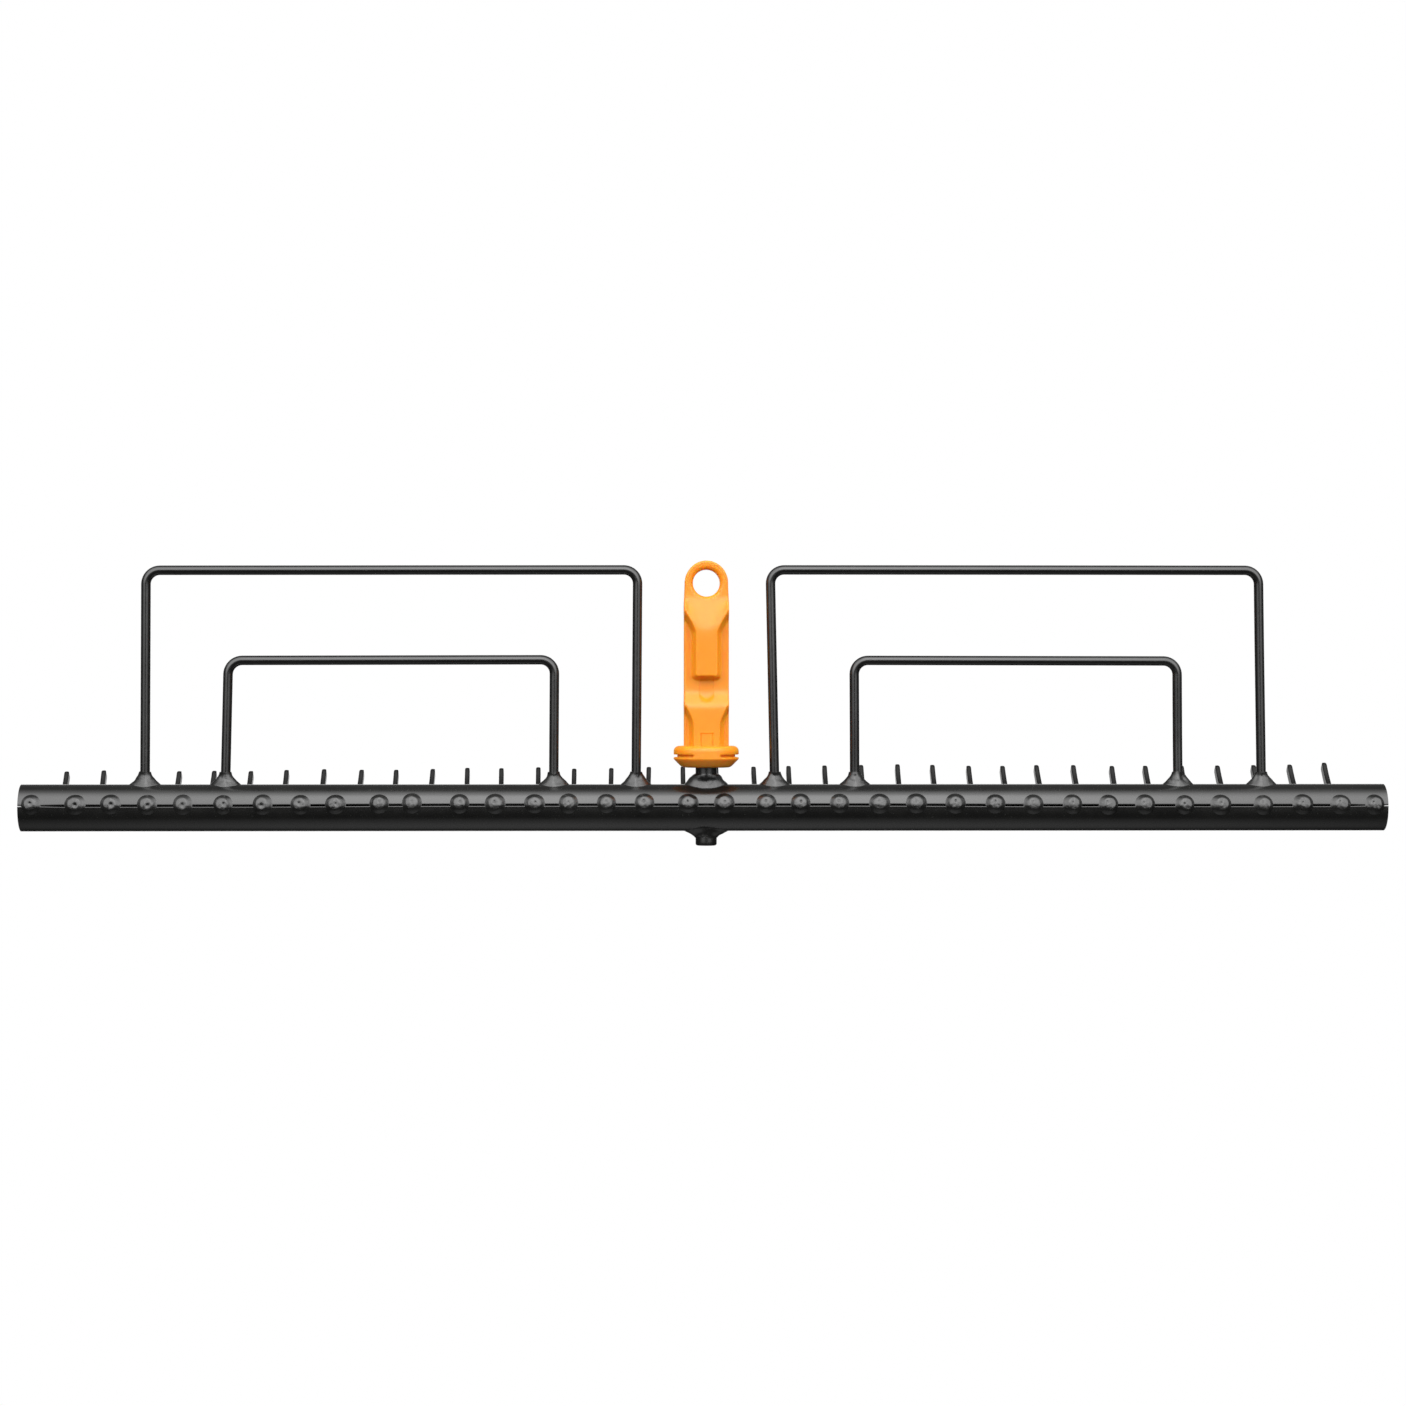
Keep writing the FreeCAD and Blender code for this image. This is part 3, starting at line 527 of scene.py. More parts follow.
def make_stud(material):
    """The plain stud with its lower edge rounded."""
    low, high = STUD_BOTTOM - TUBE_DROP, STUD_TOP - TUBE_DROP
    profile = [(0.5, low), (2.5, low)]
    profile += [(STUD_RADIUS - STUD_EDGE * (1 - math.sin(turn)), low + STUD_EDGE * (1 - math.cos(turn)))
                for turn in np.linspace(0, math.pi / 2, 7)]
    profile += [(STUD_RADIUS, level) for level in np.linspace(low + 2 * STUD_EDGE, high, 12)]
    points, faces = turned_piece(profile, 48)
    add_piece("handle_stud_bar", points, faces, material, ["handle_stud"])


SHIELD_HEIGHTS = (52.6, 53.6, 54.6, 57.3, 60.0, 61.3, 64.0, 67.0, 70.0)
SHIELD_REACHES = (5.65, 5.75, 6.1, 7.25, 8.7, 9.4, 10.5, 11.4, 12.4)
# Sizes of the adapter's face; a pair is where a mask starts and where it ends
RIB_CORNER = 1.5
RIB_WALL = (-1.0, 1.6)
SHIELD_WALL_GAIN = 0.6
SHIELD_WALL_RISE = (52, 60)
SLOPE_TOP = 69.0
SLOPE_FOOT = 55.2
SLOPE_ARCH = 0.09
SLOPE_SOFTNESS = 0.16
BLOCK_TOP = 25.0
BLOCK_SLOPE = 6
BLOCK_SOFTNESS = 0.2
BLOCK_WALL = (-1.1, 1.5)
NECK_HEIGHT = 11.2
NECK_REACH = 6.85
NECK_SPREAD = 0.23
NECK_ROUNDING = 1.2
DIP_SHARE = 0.55
DIP_FOOT = 24.2
DIP_EDGE = (1.7, 3.9)
STRIP_DEPTH = 0.28
STRIP_EDGE = (2.9, 3.6)
STRIP_FOOT = (21.8, 23.8)
STRIP_TOP = (33.5, 32.0)
GROOVE_DEPTH = 0.55
GROOVE_PLACE = 2.75
GROOVE_EDGE = (0.1, 0.55)
GROOVE_TOP = (6.2, 5.6)
TAB_DEPTH = 0.2
TAB_EDGE = (2.4, 2.8)
TAB_TOP = (6.2, 5.7)


def half_depth(x, z):
    """How far the adapter's face stands from its middle plane.

    The plate's level, plus the rib's height times the greater of two masks. The upper one is the shield
    and rib: a soft ramp down from the eye, times a soft wall where the distance to their outline is nil;
    the rib's lower corners are rounded. The lower one is the foot's block: a soft ramp, times a wall
    along its narrowing sides, less the round dip in the ramp. A shallow strip runs down from the rib
    into the dip, and two grooves set off the tab at the foot.
    """
    side = np.abs(x)
    past_side = side - np.interp(z, SHIELD_HEIGHTS, SHIELD_REACHES) + RIB_CORNER
    past_end = RIB_BOTTOM - z + RIB_CORNER
    outside = np.hypot(np.maximum(past_side, 0), np.maximum(past_end, 0)) - RIB_CORNER
    wall_end = RIB_WALL[1] + SHIELD_WALL_GAIN * smooth_step(z, *SHIELD_WALL_RISE)
    wall = 1 - smooth_step(outside, RIB_WALL[0], wall_end)
    slope_foot = SLOPE_FOOT + SLOPE_ARCH * x ** 2
    upper = soft_ramp((SLOPE_TOP - z) / (SLOPE_TOP - slope_foot), SLOPE_SOFTNESS) * wall

    over_neck = z - NECK_HEIGHT
    reach = NECK_REACH + NECK_SPREAD * (over_neck + np.sqrt(over_neck ** 2 + NECK_ROUNDING ** 2))
    ramp_down = soft_ramp((BLOCK_TOP - z) / BLOCK_SLOPE, BLOCK_SOFTNESS)
    block = ramp_down * (1 - smooth_step(side - reach, *BLOCK_WALL))
    to_dip = np.where(z > DIP_FOOT, side, np.hypot(x, z - DIP_FOOT))
    lower = block * (1 - DIP_SHARE * (1 - smooth_step(to_dip, *DIP_EDGE)))

    strip = (1 - smooth_step(side, *STRIP_EDGE)) * smooth_step(z, *STRIP_FOOT) * smooth_step(z, *STRIP_TOP)
    groove = (1 - smooth_step(np.abs(side - GROOVE_PLACE), *GROOVE_EDGE)) * smooth_step(z, *GROOVE_TOP)
    tab = (1 - smooth_step(side, *TAB_EDGE)) * smooth_step(z, *TAB_TOP)
    sunk = STRIP_DEPTH * strip + GROOVE_DEPTH * groove + TAB_DEPTH * tab
    return PLATE_LEVEL + (RIB_LEVEL - PLATE_LEVEL) * np.maximum(upper, lower) - sunk


def tongue_reach(z):
    """Half the tongue's width: full below the eye, a little narrower beside it."""
    return TONGUE_REACH - (TONGUE_REACH - ARCH_REACH) * smooth_step(z, NARROWING_FOOT, EYE_HEIGHT)


EDGE_TURNS = np.linspace(0, math.pi / 2, 5)[1:]
WALL_SHARES = np.array([0.5, 0.0])


def edge_offsets(depth):
    """The rounded edge and the wall down to the middle plane: offsets outwards, and depths."""
    out = np.concatenate([EDGE_ROUNDING * np.sin(EDGE_TURNS), np.full(len(WALL_SHARES), EDGE_ROUNDING)])
    rounded = depth[..., None] - EDGE_ROUNDING * (1 - np.cos(EDGE_TURNS))
    wall = (depth[..., None] - EDGE_ROUNDING) * WALL_SHARES
    return out, np.concatenate([rounded, wall], -1)


FACE_REACH = TONGUE_REACH - EDGE_ROUNDING
FACE_STEP = 0.32
# Bands of closer columns and rows, with the step in each
STRIP_COLUMNS = (2.3, 3.8, 0.16)
WALL_COLUMNS = (5.1, 6.5, 0.14)
RIB_ROWS = (31.2, 33.1, 0.13)
TAB_ROWS = (5.3, 6.5, 0.16)


def face_columns():
    """Shares of the face's half-width, closer together at the rib's walls and the tab's grooves."""
    places = [np.arange(0, FACE_REACH - 0.05, FACE_STEP), np.arange(*STRIP_COLUMNS), np.arange(*WALL_COLUMNS),
              [FACE_REACH]]
    half = np.unique(np.round(np.concatenate(places), 3))
    half = half[np.concatenate([[True], np.diff(half) > 0.06])]
    half[-1] = FACE_REACH
    return np.concatenate([-half[:0:-1], half]) / FACE_REACH


def tongue_shell():
    """The tongue below the eye: a stack of sections, each a front face, an edge, a back face and an edge."""
    columns = face_columns()
    heights = [np.arange(TONGUE_FOOT, HEAD_FOOT, FACE_STEP), np.arange(*RIB_ROWS), np.arange(*TAB_ROWS),
               [HEAD_FOOT]]
    rows = np.unique(np.round(np.concatenate(heights), 3))
    rows = rows[np.concatenate([np.diff(rows) > 0.05, [True]])]
    z = rows[:, None]
    x = columns[None, :] * (tongue_reach(z) - EDGE_ROUNDING)
    depth = half_depth(x, z)
    out, edge_depth = edge_offsets(depth[:, -1])
    edge_x = (tongue_reach(rows) - EDGE_ROUNDING)[:, None] + out[None, :]
    right_x = np.concatenate([edge_x, edge_x[:, -2::-1]], 1)
    right_depth = np.concatenate([edge_depth, -edge_depth[:, -2::-1]], 1)
    ring_x = np.concatenate([x, right_x, x[:, ::-1], -right_x], 1)
    ring_depth = np.concatenate([depth, right_depth, -depth[:, ::-1], -right_depth], 1)
    rings = np.stack([ring_x, -ring_depth, np.broadcast_to(z, ring_x.shape)], -1)
    count = ring_x.shape[1]
    faces = grid_faces(len(rows), count)
    faces.append(list(range(count))[::-1])
    return rings.reshape(-1, 3), faces


def head_shell():
    """The tongue's head round the eye, as rings that go out from the middle of the hole's wall.

    Rays leave the eye's rounding for the points of the tongue's top section, the sides and the arch. Along
    each, the face is the half-depth at that place, and within the rounding it drops by a quarter circle.
    """
    columns = face_columns()
    inner_reach = tongue_reach(HEAD_FOOT) - EDGE_ROUNDING
    bottom = np.stack([columns * inner_reach, np.full(len(columns), HEAD_FOOT)], -1)
    side_z = np.linspace(HEAD_FOOT, EYE_HEIGHT, 26)[1:]
    side = np.stack([tongue_reach(side_z) - EDGE_ROUNDING, side_z], -1)
    over = np.linspace(0, math.pi, 61)[1:-1]
    rise = TONGUE_TOP - EYE_HEIGHT
    arch = np.stack([(ARCH_REACH - EDGE_ROUNDING) * np.cos(over),
                     EYE_HEIGHT + (rise - EDGE_ROUNDING) * np.sin(over)], -1)
    ends = np.concatenate([bottom, side, arch, side[::-1] * [-1, 1]])
    outwards = np.concatenate([np.tile([0.0, 0.0], (len(bottom), 1)), np.tile([1.0, 0.0], (len(side), 1)),
                               np.stack([np.cos(over), np.sin(over)], -1),
                               np.tile([-1.0, 0.0], (len(side), 1))])
    outwards[0], outwards[len(bottom) - 1] = (-1.0, 0.0), (1.0, 0.0)
    middle = np.array([0.0, EYE_HEIGHT])
    rays = (ends - middle) / np.linalg.norm(ends - middle, axis=1, keepdims=True)
    clear = EYE_RADIUS + EYE_ROUNDING

    places, depths = [], []
    hole_edge = middle + rays * EYE_RADIUS
    hole_depth = half_depth(*hole_edge.T) - EYE_ROUNDING
    for share in (0.0, 0.5):
        places.append(hole_edge)
        depths.append(hole_depth * share)
    for turn in np.linspace(0, math.pi / 2, 8):
        place = middle + rays * (clear - EYE_ROUNDING * math.cos(turn))
        places.append(place)
        depths.append(half_depth(*place.T) - EYE_ROUNDING * (1 - math.sin(turn)))
    start = middle + rays * clear
    for share in np.linspace(0, 1, 15)[1:]:
        place = start + (ends - start) * share
        places.append(place)
        depths.append(half_depth(*place.T))
    face_rings = len(places)
    out, edge_depth = edge_offsets(depths[-1])
    for number, offset in enumerate(out):
        places.append(ends + outwards * offset)
        depths.append(edge_depth[:, number])

    places, depths = np.array(places), np.array(depths)
    count = len(ends)
    front = np.stack([places[..., 0], -depths, places[..., 1]], -1)
    points = np.concatenate([front, front * [1, -1, 1]])
    faces = []
    for half, flip in ((0, 1), (len(places), -1)):
        for face in grid_faces(len(places), count):
            ring, column = divmod(face[0], count)
            in_foot = column < len(bottom) - 1
            if ring < face_rings - 1 or not in_foot:
                faces.append([corner + half * count for corner in face][::flip])
    return points.reshape(-1, 3), faces


# Radius and height over the foot of the flange's underside, and how far its bevel goes out and up from there
FLANGE_UNDERSIDE = ((6.0, 0.0), (10.2, 0.0), (10.9, 0.08), (11.5, 0.32), (12.05, 0.7), (12.55, 1.15))
FLANGE_BEVEL = (2.55, 2.6)
FLANGE_ROUNDING = 2.5
FLANGE_TOP_START = 9.0
# How far the rim's lower corner stands in from the rim, and its height
RIM_CORNER = ((0.05, -6.1), (0.0, -5.9), (0.0, -5.65))
FLANGE_GROOVE = (-5.3, -4.0)
# Radius of the groove's side, and how far it stands outside the groove, from the rim inwards
GROOVE_SIDE = ((15.23, 0.07), (15.0, 0.0), (14.3, 0.0), (13.75, 0.0), (13.6, -0.12))
WEB_EDGE = (6.2, 7.5)


def flange_shell():
    """The flange, turned about the handle's axis, with its groove filled by a web at the front and back.

    In the groove's heights the radius goes from the groove's to the rim's by a smooth step across the web's
    edge. The upper edge is a quarter circle.
    """
    rim = FLANGE_RADIUS
    floor, roof = FLANGE_GROOVE
    low = [(radius, FLANGE_FOOT + height) for radius, height in FLANGE_UNDERSIDE]
    start_radius, start_height = low[-1]
    low += [(start_radius + FLANGE_BEVEL[0] * share, start_height + FLANGE_BEVEL[1] * share)
            for share in (0.33, 0.67, 1.0)]
    low += [(rim - inset, height) for inset, height in RIM_CORNER]
    groove = [(radius, floor - out) for radius, out in GROOVE_SIDE]
    groove += [(radius, roof + out) for radius, out in GROOVE_SIDE[::-1]]
    high = [(rim, roof + 0.35), (rim, -FLANGE_ROUNDING - 0.3)]
    high += [(rim - FLANGE_ROUNDING * (1 - math.cos(turn)), -FLANGE_ROUNDING * (1 - math.sin(turn)))
             for turn in np.linspace(0.06, math.pi / 2, 9)]
    high += [(FLANGE_TOP_START, 0.0)]
    around = np.linspace(0, 2 * math.pi, 144, endpoint=False)
    from_web = smooth_step(np.abs(rim * np.cos(around)), *WEB_EDGE)
    rings = []
    for radius, height in low + groove + high:
        filled = radius if (radius, height) not in groove else rim - (rim - radius) * from_web
        rings.append(np.stack([filled * np.cos(around), filled * np.sin(around),
                               np.full(len(around), height)], -1))
    return closed_shell(np.array(rings))


def make_adapter(material):
    """The moulded adapter: its tongue with ribs and eye, and the flange under it."""
    points, faces = join_shells([tongue_shell(), head_shell(), flange_shell()])
    add_piece("handle_adapter_moulding", points, faces, material, ["handle_adapter"],
              sharp=80.0, merge=True)


def feed(tree, value, socket):
    """Links an output to the socket, or sets the socket where the value is plain."""
    if isinstance(value, bpy.types.NodeSocket):
        tree.links.new(value, socket)
    else:
        socket.default_value = value


def add_node(tree, kind, **inputs):
    """A shader node, with the named inputs fed."""
    node = tree.nodes.new(f"ShaderNode{kind}")
    for name, value in inputs.items():
        feed(tree, value, node.inputs[name.replace("_", " ")])
    return node


def noise(tree, coordinates, scale, detail):
    """The grey value of a noise texture."""
    return add_node(tree, "TexNoise", Vector=coordinates, Scale=scale, Detail=detail).outputs["Fac"]


def arithmetic(tree, operation, *values, clamp=False):
    """The outcome of one operation on values or outputs."""
    node = add_node(tree, "Math")
    node.operation = operation
    node.use_clamp = clamp
    for socket, value in zip(node.inputs, values):
        feed(tree, value, socket)
    return node.outputs[0]


def blend_colours(tree, mask, first, second):
    """The first colour where the mask is 0, the second where it is 1."""
    node = add_node(tree, "Mix")
    node.data_type = "RGBA"
    for name, value in (("Factor", mask), ("A", first), ("B", second)):
        feed(tree, value, node.inputs[name])
    return node.outputs["Result"]


def ramp(tree, value, low, high):
    """A mask that rises from 0 at the low value to 1 at the high one, level at both."""
    node = add_node(tree, "MapRange", Value=value, From_Min=low, From_Max=high)
    node.interpolation_type = "SMOOTHSTEP"
    return node.outputs["Result"]


# Node groups for effects that more than one finish uses

def new_group(name, inputs, output):
    """An empty node group with a vector and the given numbers as inputs, and one output."""
    group = bpy.data.node_groups.new(name, "ShaderNodeTree")
    group.interface.new_socket("Vector", in_out="INPUT", socket_type="NodeSocketVector")
    for label, value in inputs.items():
        made = group.interface.new_socket(label, in_out="INPUT", socket_type="NodeSocketFloat")
        made.default_value = value
    group.interface.new_socket(output, in_out="OUTPUT", socket_type="NodeSocketFloat")
    given = group.nodes.new("NodeGroupInput").outputs
    return group, given, group.nodes.new("NodeGroupOutput").inputs[output]


def make_cloudiness():
    """Slow, soft changes of tone over a surface, from two sizes of noise."""
    group, given, mask = new_group("cloudiness", {"Size": 40.0}, "Mask")
    fine_ratio, fine_share, edges = 5.3, 0.35, (0.3, 0.7)
    wide = noise(group, given["Vector"], given["Size"], 2.0)
    fine = noise(group, given["Vector"], arithmetic(group, "MULTIPLY", given["Size"], fine_ratio), 3.0)
    share = arithmetic(group, "MULTIPLY", fine, fine_share)
    both = arithmetic(group, "MULTIPLY_ADD", wide, 1 - fine_share, share)
    group.links.new(ramp(group, both, *edges), mask)
    return group


def make_specks():
    """Sparse dust specks and fine pits: small noise cut off near its peaks."""
    group, given, mask = new_group("specks", {"Size": 900.0, "Amount": 0.68}, "Mask")
    sharpness = 14.0
    grain = noise(group, given["Vector"], given["Size"], 1.0)
    over = arithmetic(group, "SUBTRACT", grain, given["Amount"])
    group.links.new(arithmetic(group, "MULTIPLY", over, sharpness, clamp=True), mask)
    return group


def make_surface_waves():
    """The height of a sprayed or moulded skin: broad waves with a fine orange peel on them."""
    inputs = {"Wave Size": 90.0, "Peel Size": 700.0, "Peel Share": 0.2}
    group, given, height = new_group("surface_waves", inputs, "Height")
    waves = noise(group, given["Vector"], given["Wave Size"], 2.0)
    peel = noise(group, given["Vector"], given["Peel Size"], 2.0)
    small = arithmetic(group, "MULTIPLY", peel, given["Peel Share"])
    group.links.new(arithmetic(group, "ADD", waves, small), height)
    return group


CLOUDINESS = make_cloudiness()
SPECKS = make_specks()
SURFACE_WAVES = make_surface_waves()


def place_group(tree, group, coordinates, **values):
    """The output of a node group that is placed with its own values."""
    node = tree.nodes.new("ShaderNodeGroup")
    node.node_tree = group
    for name, value in {"Vector": coordinates, **values}.items():
        feed(tree, value, node.inputs[name.replace("_", " ")])
    return node.outputs[0]


def new_finish(name, **inputs):
    """A material with its shader, the plain values on the shader's sockets, and Object coordinates."""
    material = bpy.data.materials.new(name)
    material.use_nodes = True
    tree = material.node_tree
    tree.nodes.clear()
    shader = add_node(tree, "BsdfPrincipled", **inputs)
    add_node(tree, "OutputMaterial", Surface=shader.outputs["BSDF"])
    coordinates = add_node(tree, "TexCoord").outputs["Object"]
    return material, tree, shader.inputs, coordinates


def add_bump(tree, sockets, height, distance):
    """Lifts the surface's shading by a height that goes from 0 to 1 over the distance in millimetres."""
    bump = add_node(tree, "Bump", Distance=distance * MM, Strength=1.0, Height=height)
    tree.links.new(bump.outputs["Normal"], sockets["Normal"])


def paint_finish(name, dark, light, rough, wave_size, wave_height, dust, gloss=1.0):
    """Satin black paint: a near-black tone with soft clouds and dust specks, over slightly wavy steel."""
    material, tree, sockets, coordinates = new_finish(
        name, Specular_IOR_Level=0.62 * gloss, Coat_Weight=gloss, Coat_Roughness=0.2)
    clouds = place_group(tree, CLOUDINESS, coordinates, Size=38.0)
    specks = place_group(tree, SPECKS, coordinates, Size=1100.0, Amount=0.7)
    tone = blend_colours(tree, clouds, dark, light)
    dusty = arithmetic(tree, "MULTIPLY", specks, dust)
    tree.links.new(blend_colours(tree, dusty, tone, DUST_COLOUR), sockets["Base Color"])
    roughness = arithmetic(tree, "MULTIPLY_ADD", clouds, rough[1] - rough[0], rough[0])
    tree.links.new(arithmetic(tree, "MULTIPLY_ADD", specks, DUST_ROUGHNESS, roughness), sockets["Roughness"])
    height = place_group(tree, SURFACE_WAVES, coordinates, Wave_Size=wave_size, Peel_Size=620.0,
                         Peel_Share=0.12)
    add_bump(tree, sockets, height, wave_height)
    return material


def plastic_finish():
    """Moulded orange plastic: an even, saturated tone with faint flow clouds and a fine satin grain."""
    material, tree, sockets, coordinates = new_finish(
        "orange_moulding", Specular_IOR_Level=0.58, Subsurface_Weight=0.7,
        Subsurface_Radius=(1.0, 0.3, 0.06), Subsurface_Scale=3.0 * MM)
    clouds = place_group(tree, CLOUDINESS, coordinates, Size=30.0)
    specks = place_group(tree, SPECKS, coordinates, Size=1500.0, Amount=0.72)
    tone = blend_colours(tree, clouds, ORANGE, PALE_ORANGE)
    marks = arithmetic(tree, "MULTIPLY", specks, 0.12)
    tree.links.new(blend_colours(tree, marks, tone, MARK_ORANGE), sockets["Base Color"])
    tree.links.new(arithmetic(tree, "MULTIPLY_ADD", clouds, 0.05, 0.32), sockets["Roughness"])
    height = place_group(tree, SURFACE_WAVES, coordinates, Wave_Size=60.0, Peel_Size=1400.0, Peel_Share=0.2)
    add_bump(tree, sockets, height, 0.03)
    return material


BLACK = (0.0052, 0.0052, 0.005, 1)
WARM_BLACK = (0.0052, 0.0052, 0.0049, 1)
GREY_BLACK = (0.0082, 0.0082, 0.0079, 1)
WARM_GREY_BLACK = (0.0082, 0.0082, 0.0077, 1)
WELD_BLACK = (0.0095, 0.0095, 0.009, 1)
DUST_COLOUR = (0.12, 0.118, 0.112, 1)
DUST_ROUGHNESS = 0.25
ORANGE = (0.83, 0.284, 0.012, 1)
PALE_ORANGE = (0.85, 0.3, 0.015, 1)
MARK_ORANGE = (0.55, 0.17, 0.012, 1)


def make_rake():
    """Every piece of the rake's head, each with its finish."""
    tube_paint = paint_finish("black_tube_paint", WARM_BLACK, WARM_GREY_BLACK, rough=(0.2, 0.27),
                              wave_size=55.0, wave_height=0.08, dust=0.07)
    wire_paint = paint_finish("black_wire_paint", BLACK, GREY_BLACK, rough=(0.2, 0.27),
                              wave_size=110.0, wave_height=0.08, dust=0.07)
    tooth_paint = paint_finish("black_tooth_paint", BLACK, GREY_BLACK, rough=(0.24, 0.34),
                               wave_size=110.0, wave_height=0.06, dust=0.05, gloss=0.4)
    weld_paint = paint_finish("black_weld_paint", BLACK, WELD_BLACK, rough=(0.22, 0.34),
                              wave_size=650.0, wave_height=0.22, dust=0.1)
    make_rolled_tube(tube_paint)
    make_tooth_welds(weld_paint)
    for number in range(1, TOOTH_COUNT + 1):
        make_tooth(number, tooth_paint)
    for place in ("left", "right"):
        for kind in ("outer", "inner"):
            make_hoop(kind, place, wire_paint)
    make_hoop_welds(weld_paint)
    make_stud(wire_paint)
    make_stud_welds(weld_paint)
    make_adapter(plastic_finish())


make_rake()

# Studio, in metres: a pale floor that fades out, soft light and the photograph's camera

FLOOR_HEIGHT = -0.5
FLOOR_REACH = (1.2, 0.8)
FLOOR_COVER = 0.24
FLOOR_FADE = (0.52, 0.0)
FLOOR_NARROWING = (0.62, 1, 0)
FLOOR_GREY = (0.62, 0.62, 0.62, 1)
FLOOR_PALE_GREY = (0.64, 0.64, 0.64, 1)
# Place, width and height, and radiance, where 1 is as bright as white paper
LAMPS = {"front_soft_box": ((0.06, -1.5, 1.35), (0.9, 1.7), 0.9),
         "left_fill": ((-1.55, -0.9, 1.0), (1.2, 1.2), 3.9),
         "right_fill": ((1.55, -0.9, 1.0), (1.2, 1.2), 3.9),
         "back_fill": ((0, 1.3, 1.7), (2.4, 1.2), 3.6)}
LIGHT_LEVEL = 2.95
BACK_LEVEL = 0.08
LOW_LEVEL = 0.03
WINDOW_LEVEL = 0.8
# The part of the direction where each of the world's masks is 0, and where it is 1
AHEAD = (0.42, 0.02)
OVER_HORIZON = (-0.14, 0.24)
IN_FRONT = (-0.5, 0.5)
NOT_ASIDE = (1.0, 0.62)
NOT_BELOW = (-0.05, 0.2)
IN_WINDOW = (0.9, 0.98)
BEHIND = (0.99, 0.999)
HORIZON_RISE = -0.15
ZENITH_TILT = (-0.98, -0.19)
PHOTO_PIXELS = 1406
FOCAL_PIXELS = 3258.2
CAMERA_PLACE = (-0.04363, -1.53, 0.029)
CAMERA_TURNS = {"yaw": 1.577, "pitch": -0.332, "roll": -0.025}


def make_floor():
    """A pale floor that fades into the white of the world, further out along the rake than across it."""
    mesh = bpy.data.meshes.new("studio_floor")
    count = 96
    around = np.linspace(0, 2 * math.pi, count, endpoint=False)
    rim = np.stack([FLOOR_REACH[0] * np.cos(around), FLOOR_REACH[1] * np.sin(around),
                    np.full(count, FLOOR_HEIGHT)], -1)
    mesh.from_pydata(rim.tolist(), [], [list(range(count))])
    floor = bpy.data.objects.new("studio_floor", mesh)
    bpy.context.scene.collection.objects.link(floor)
    material, tree, sockets, coordinates = new_finish("pale_floor", Roughness=0.9, Specular_IOR_Level=0.1)
    clouds = place_group(tree, CLOUDINESS, coordinates, Size=3.0)
    tree.links.new(blend_colours(tree, clouds, FLOOR_GREY, FLOOR_PALE_GREY), sockets["Base Color"])
    narrowed = tree.nodes.new("ShaderNodeVectorMath")
    narrowed.operation = "MULTIPLY"
    narrowed.inputs[1].default_value = FLOOR_NARROWING
    tree.links.new(coordinates, narrowed.inputs[0])
    distance = add_node(tree, "VectorMath", Vector=narrowed.outputs["Vector"])
    distance.operation = "LENGTH"
    shown = ramp(tree, distance.outputs["Value"], *FLOOR_FADE)
    tree.links.new(arithmetic(tree, "MULTIPLY", shown, FLOOR_COVER), sockets["Alpha"])
    mesh.materials.append(material)


def add_lamps():
    """Soft boxes that face the handle's foot. The fills light the surfaces without being mirrored in them."""
    for name, (place, sides, radiance) in LAMPS.items():
        data = bpy.data.lights.new(name, "AREA")
        data.shape = "RECTANGLE"
        data.size, data.size_y = sides
        data.energy = radiance * math.pi * sides[0] * sides[1]
        lamp = bpy.data.objects.new(name, data)
        lamp.location = place
        lamp.rotation_euler = (Vector() - Vector(place)).to_track_quat("-Z", "Y").to_euler()
        lamp.visible_camera = False
        lamp.visible_glossy = not name.endswith("fill")
        bpy.context.scene.collection.objects.link(lamp)


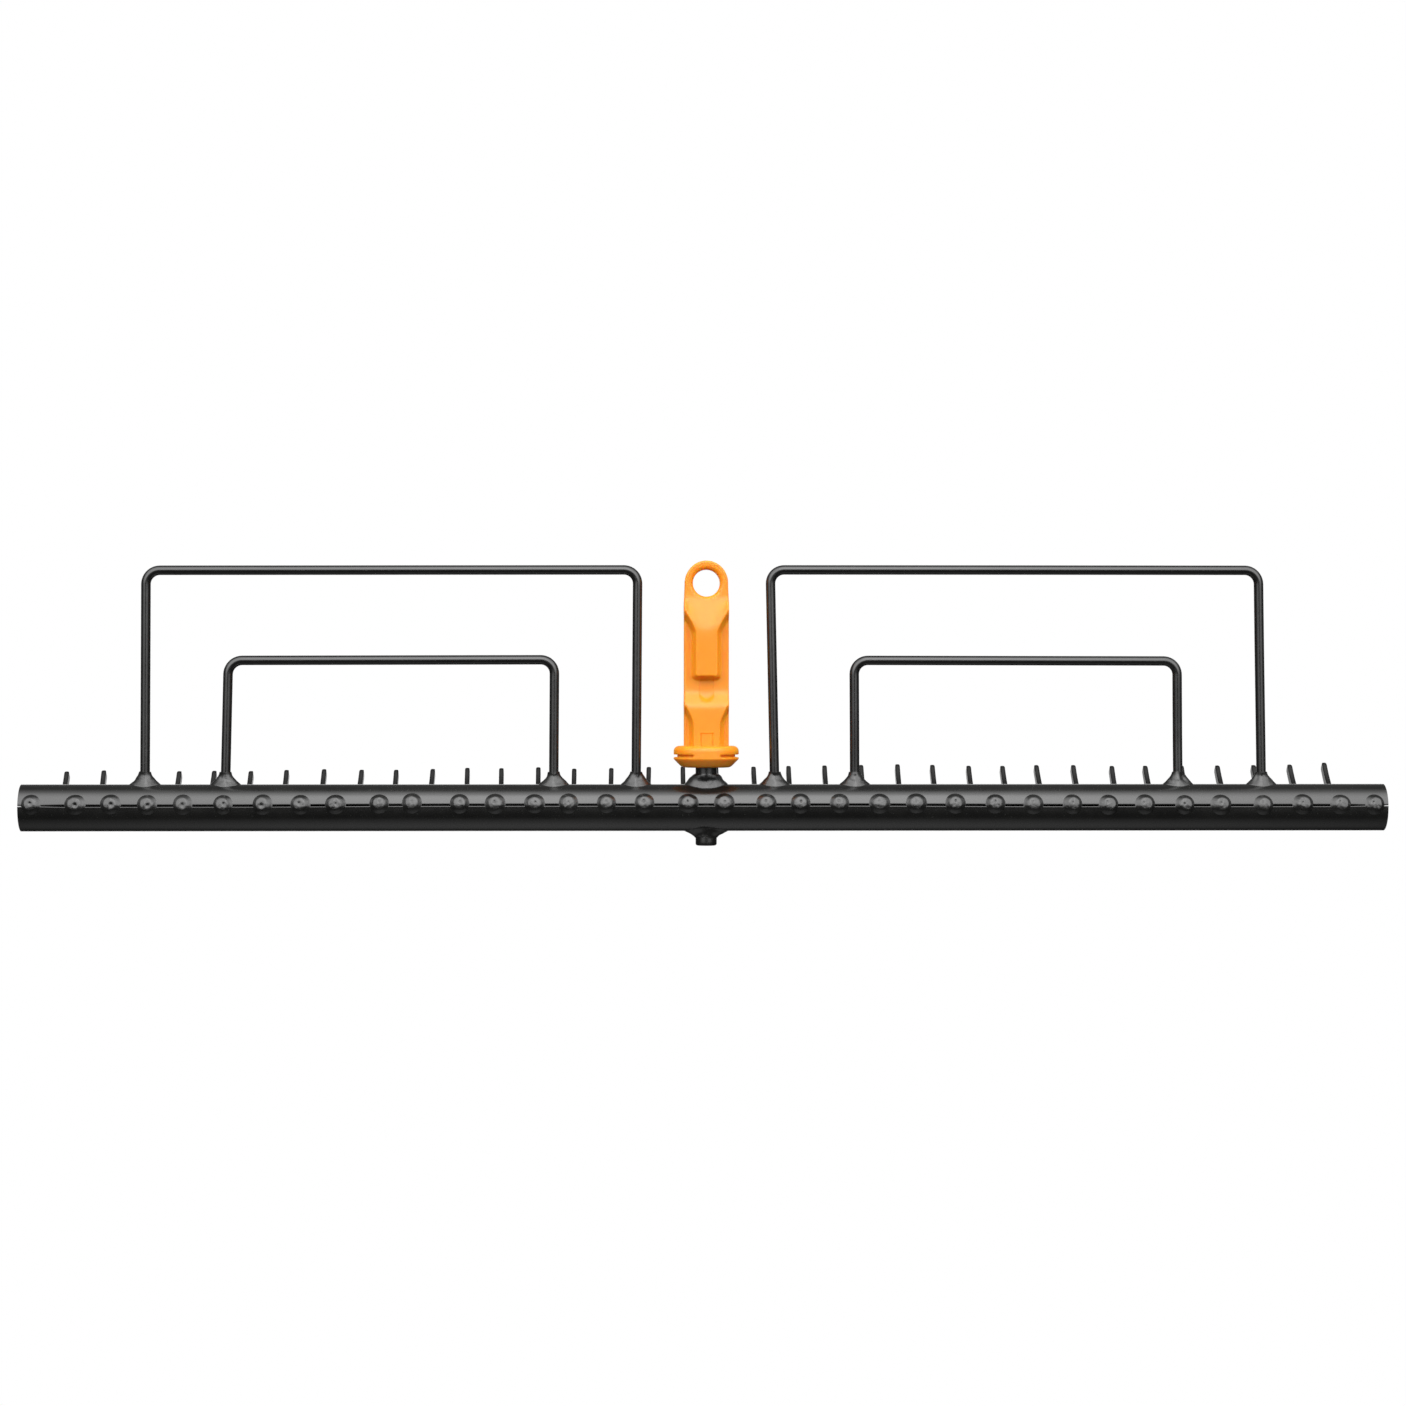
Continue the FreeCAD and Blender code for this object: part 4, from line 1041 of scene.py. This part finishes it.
def make_world():
    """White where the camera looks, and for reflections of the backdrop behind the object.

    The studio's own light is one broad soft field in front and above. It fades in over the horizon, a
    little higher straight ahead, fades out past the zenith and towards the sides, and leaves the rest dim,
    but for a small soft window straight behind the object, which lights its back.
    """
    world = bpy.data.worlds.new("studio")
    bpy.context.scene.world = world
    world.use_nodes = True
    tree = world.node_tree
    tree.nodes.clear()
    direction = add_node(tree, "TexCoord").outputs["Generated"]
    parts = add_node(tree, "SeparateXYZ", Vector=direction).outputs
    aside = arithmetic(tree, "ABSOLUTE", parts["X"])
    level = arithmetic(tree, "MULTIPLY_ADD", ramp(tree, aside, *AHEAD), HORIZON_RISE, parts["Z"])
    forward = arithmetic(tree, "MULTIPLY", parts["Y"], ZENITH_TILT[0])
    before_zenith = arithmetic(tree, "MULTIPLY_ADD", parts["Z"], ZENITH_TILT[1], forward)
    in_front = ramp(tree, before_zenith, *IN_FRONT)
    field = arithmetic(tree, "MULTIPLY", ramp(tree, level, *OVER_HORIZON), in_front)
    field = arithmetic(tree, "MULTIPLY", field, ramp(tree, aside, *NOT_ASIDE))
    back = arithmetic(tree, "MULTIPLY_ADD", ramp(tree, parts["Z"], *NOT_BELOW), BACK_LEVEL, LOW_LEVEL)
    back = arithmetic(tree, "MULTIPLY_ADD", ramp(tree, parts["Y"], *IN_WINDOW), WINDOW_LEVEL, back)
    strength = arithmetic(tree, "MULTIPLY_ADD", field, LIGHT_LEVEL, back)
    path = add_node(tree, "LightPath").outputs
    mirrored = arithmetic(tree, "MAXIMUM", path["Is Glossy Ray"], path["Is Transmission Ray"])
    behind = ramp(tree, parts["Y"], *BEHIND)
    seen = arithmetic(tree, "MULTIPLY_ADD", mirrored, behind, path["Is Camera Ray"])
    mix = add_node(tree, "MixShader", Fac=arithmetic(tree, "MINIMUM", seen, 1.0))
    studio = add_node(tree, "Background", Strength=strength)
    white = add_node(tree, "Background", Color=(1, 1, 1, 1))
    for socket, background in zip(mix.inputs[1:], (studio, white)):
        tree.links.new(background.outputs["Background"], socket)
    add_node(tree, "OutputWorld", Surface=mix.outputs["Shader"])


def add_camera():
    """The photograph's camera: a little above the flange's level and to the left, with a long lens."""
    data = bpy.data.cameras.new("camera")
    data.sensor_width = 36.0
    data.lens = data.sensor_width * FOCAL_PIXELS / PHOTO_PIXELS
    camera = bpy.data.objects.new("camera", data)
    camera.location = CAMERA_PLACE
    turns = {name: math.radians(turn) for name, turn in CAMERA_TURNS.items()}
    camera.rotation_euler = (math.pi / 2 + turns["pitch"], turns["roll"], -turns["yaw"])
    bpy.context.scene.collection.objects.link(camera)
    bpy.context.scene.camera = camera


make_floor()
add_lamps()
make_world()
add_camera()
bpy.context.scene.view_settings.view_transform = "Standard"
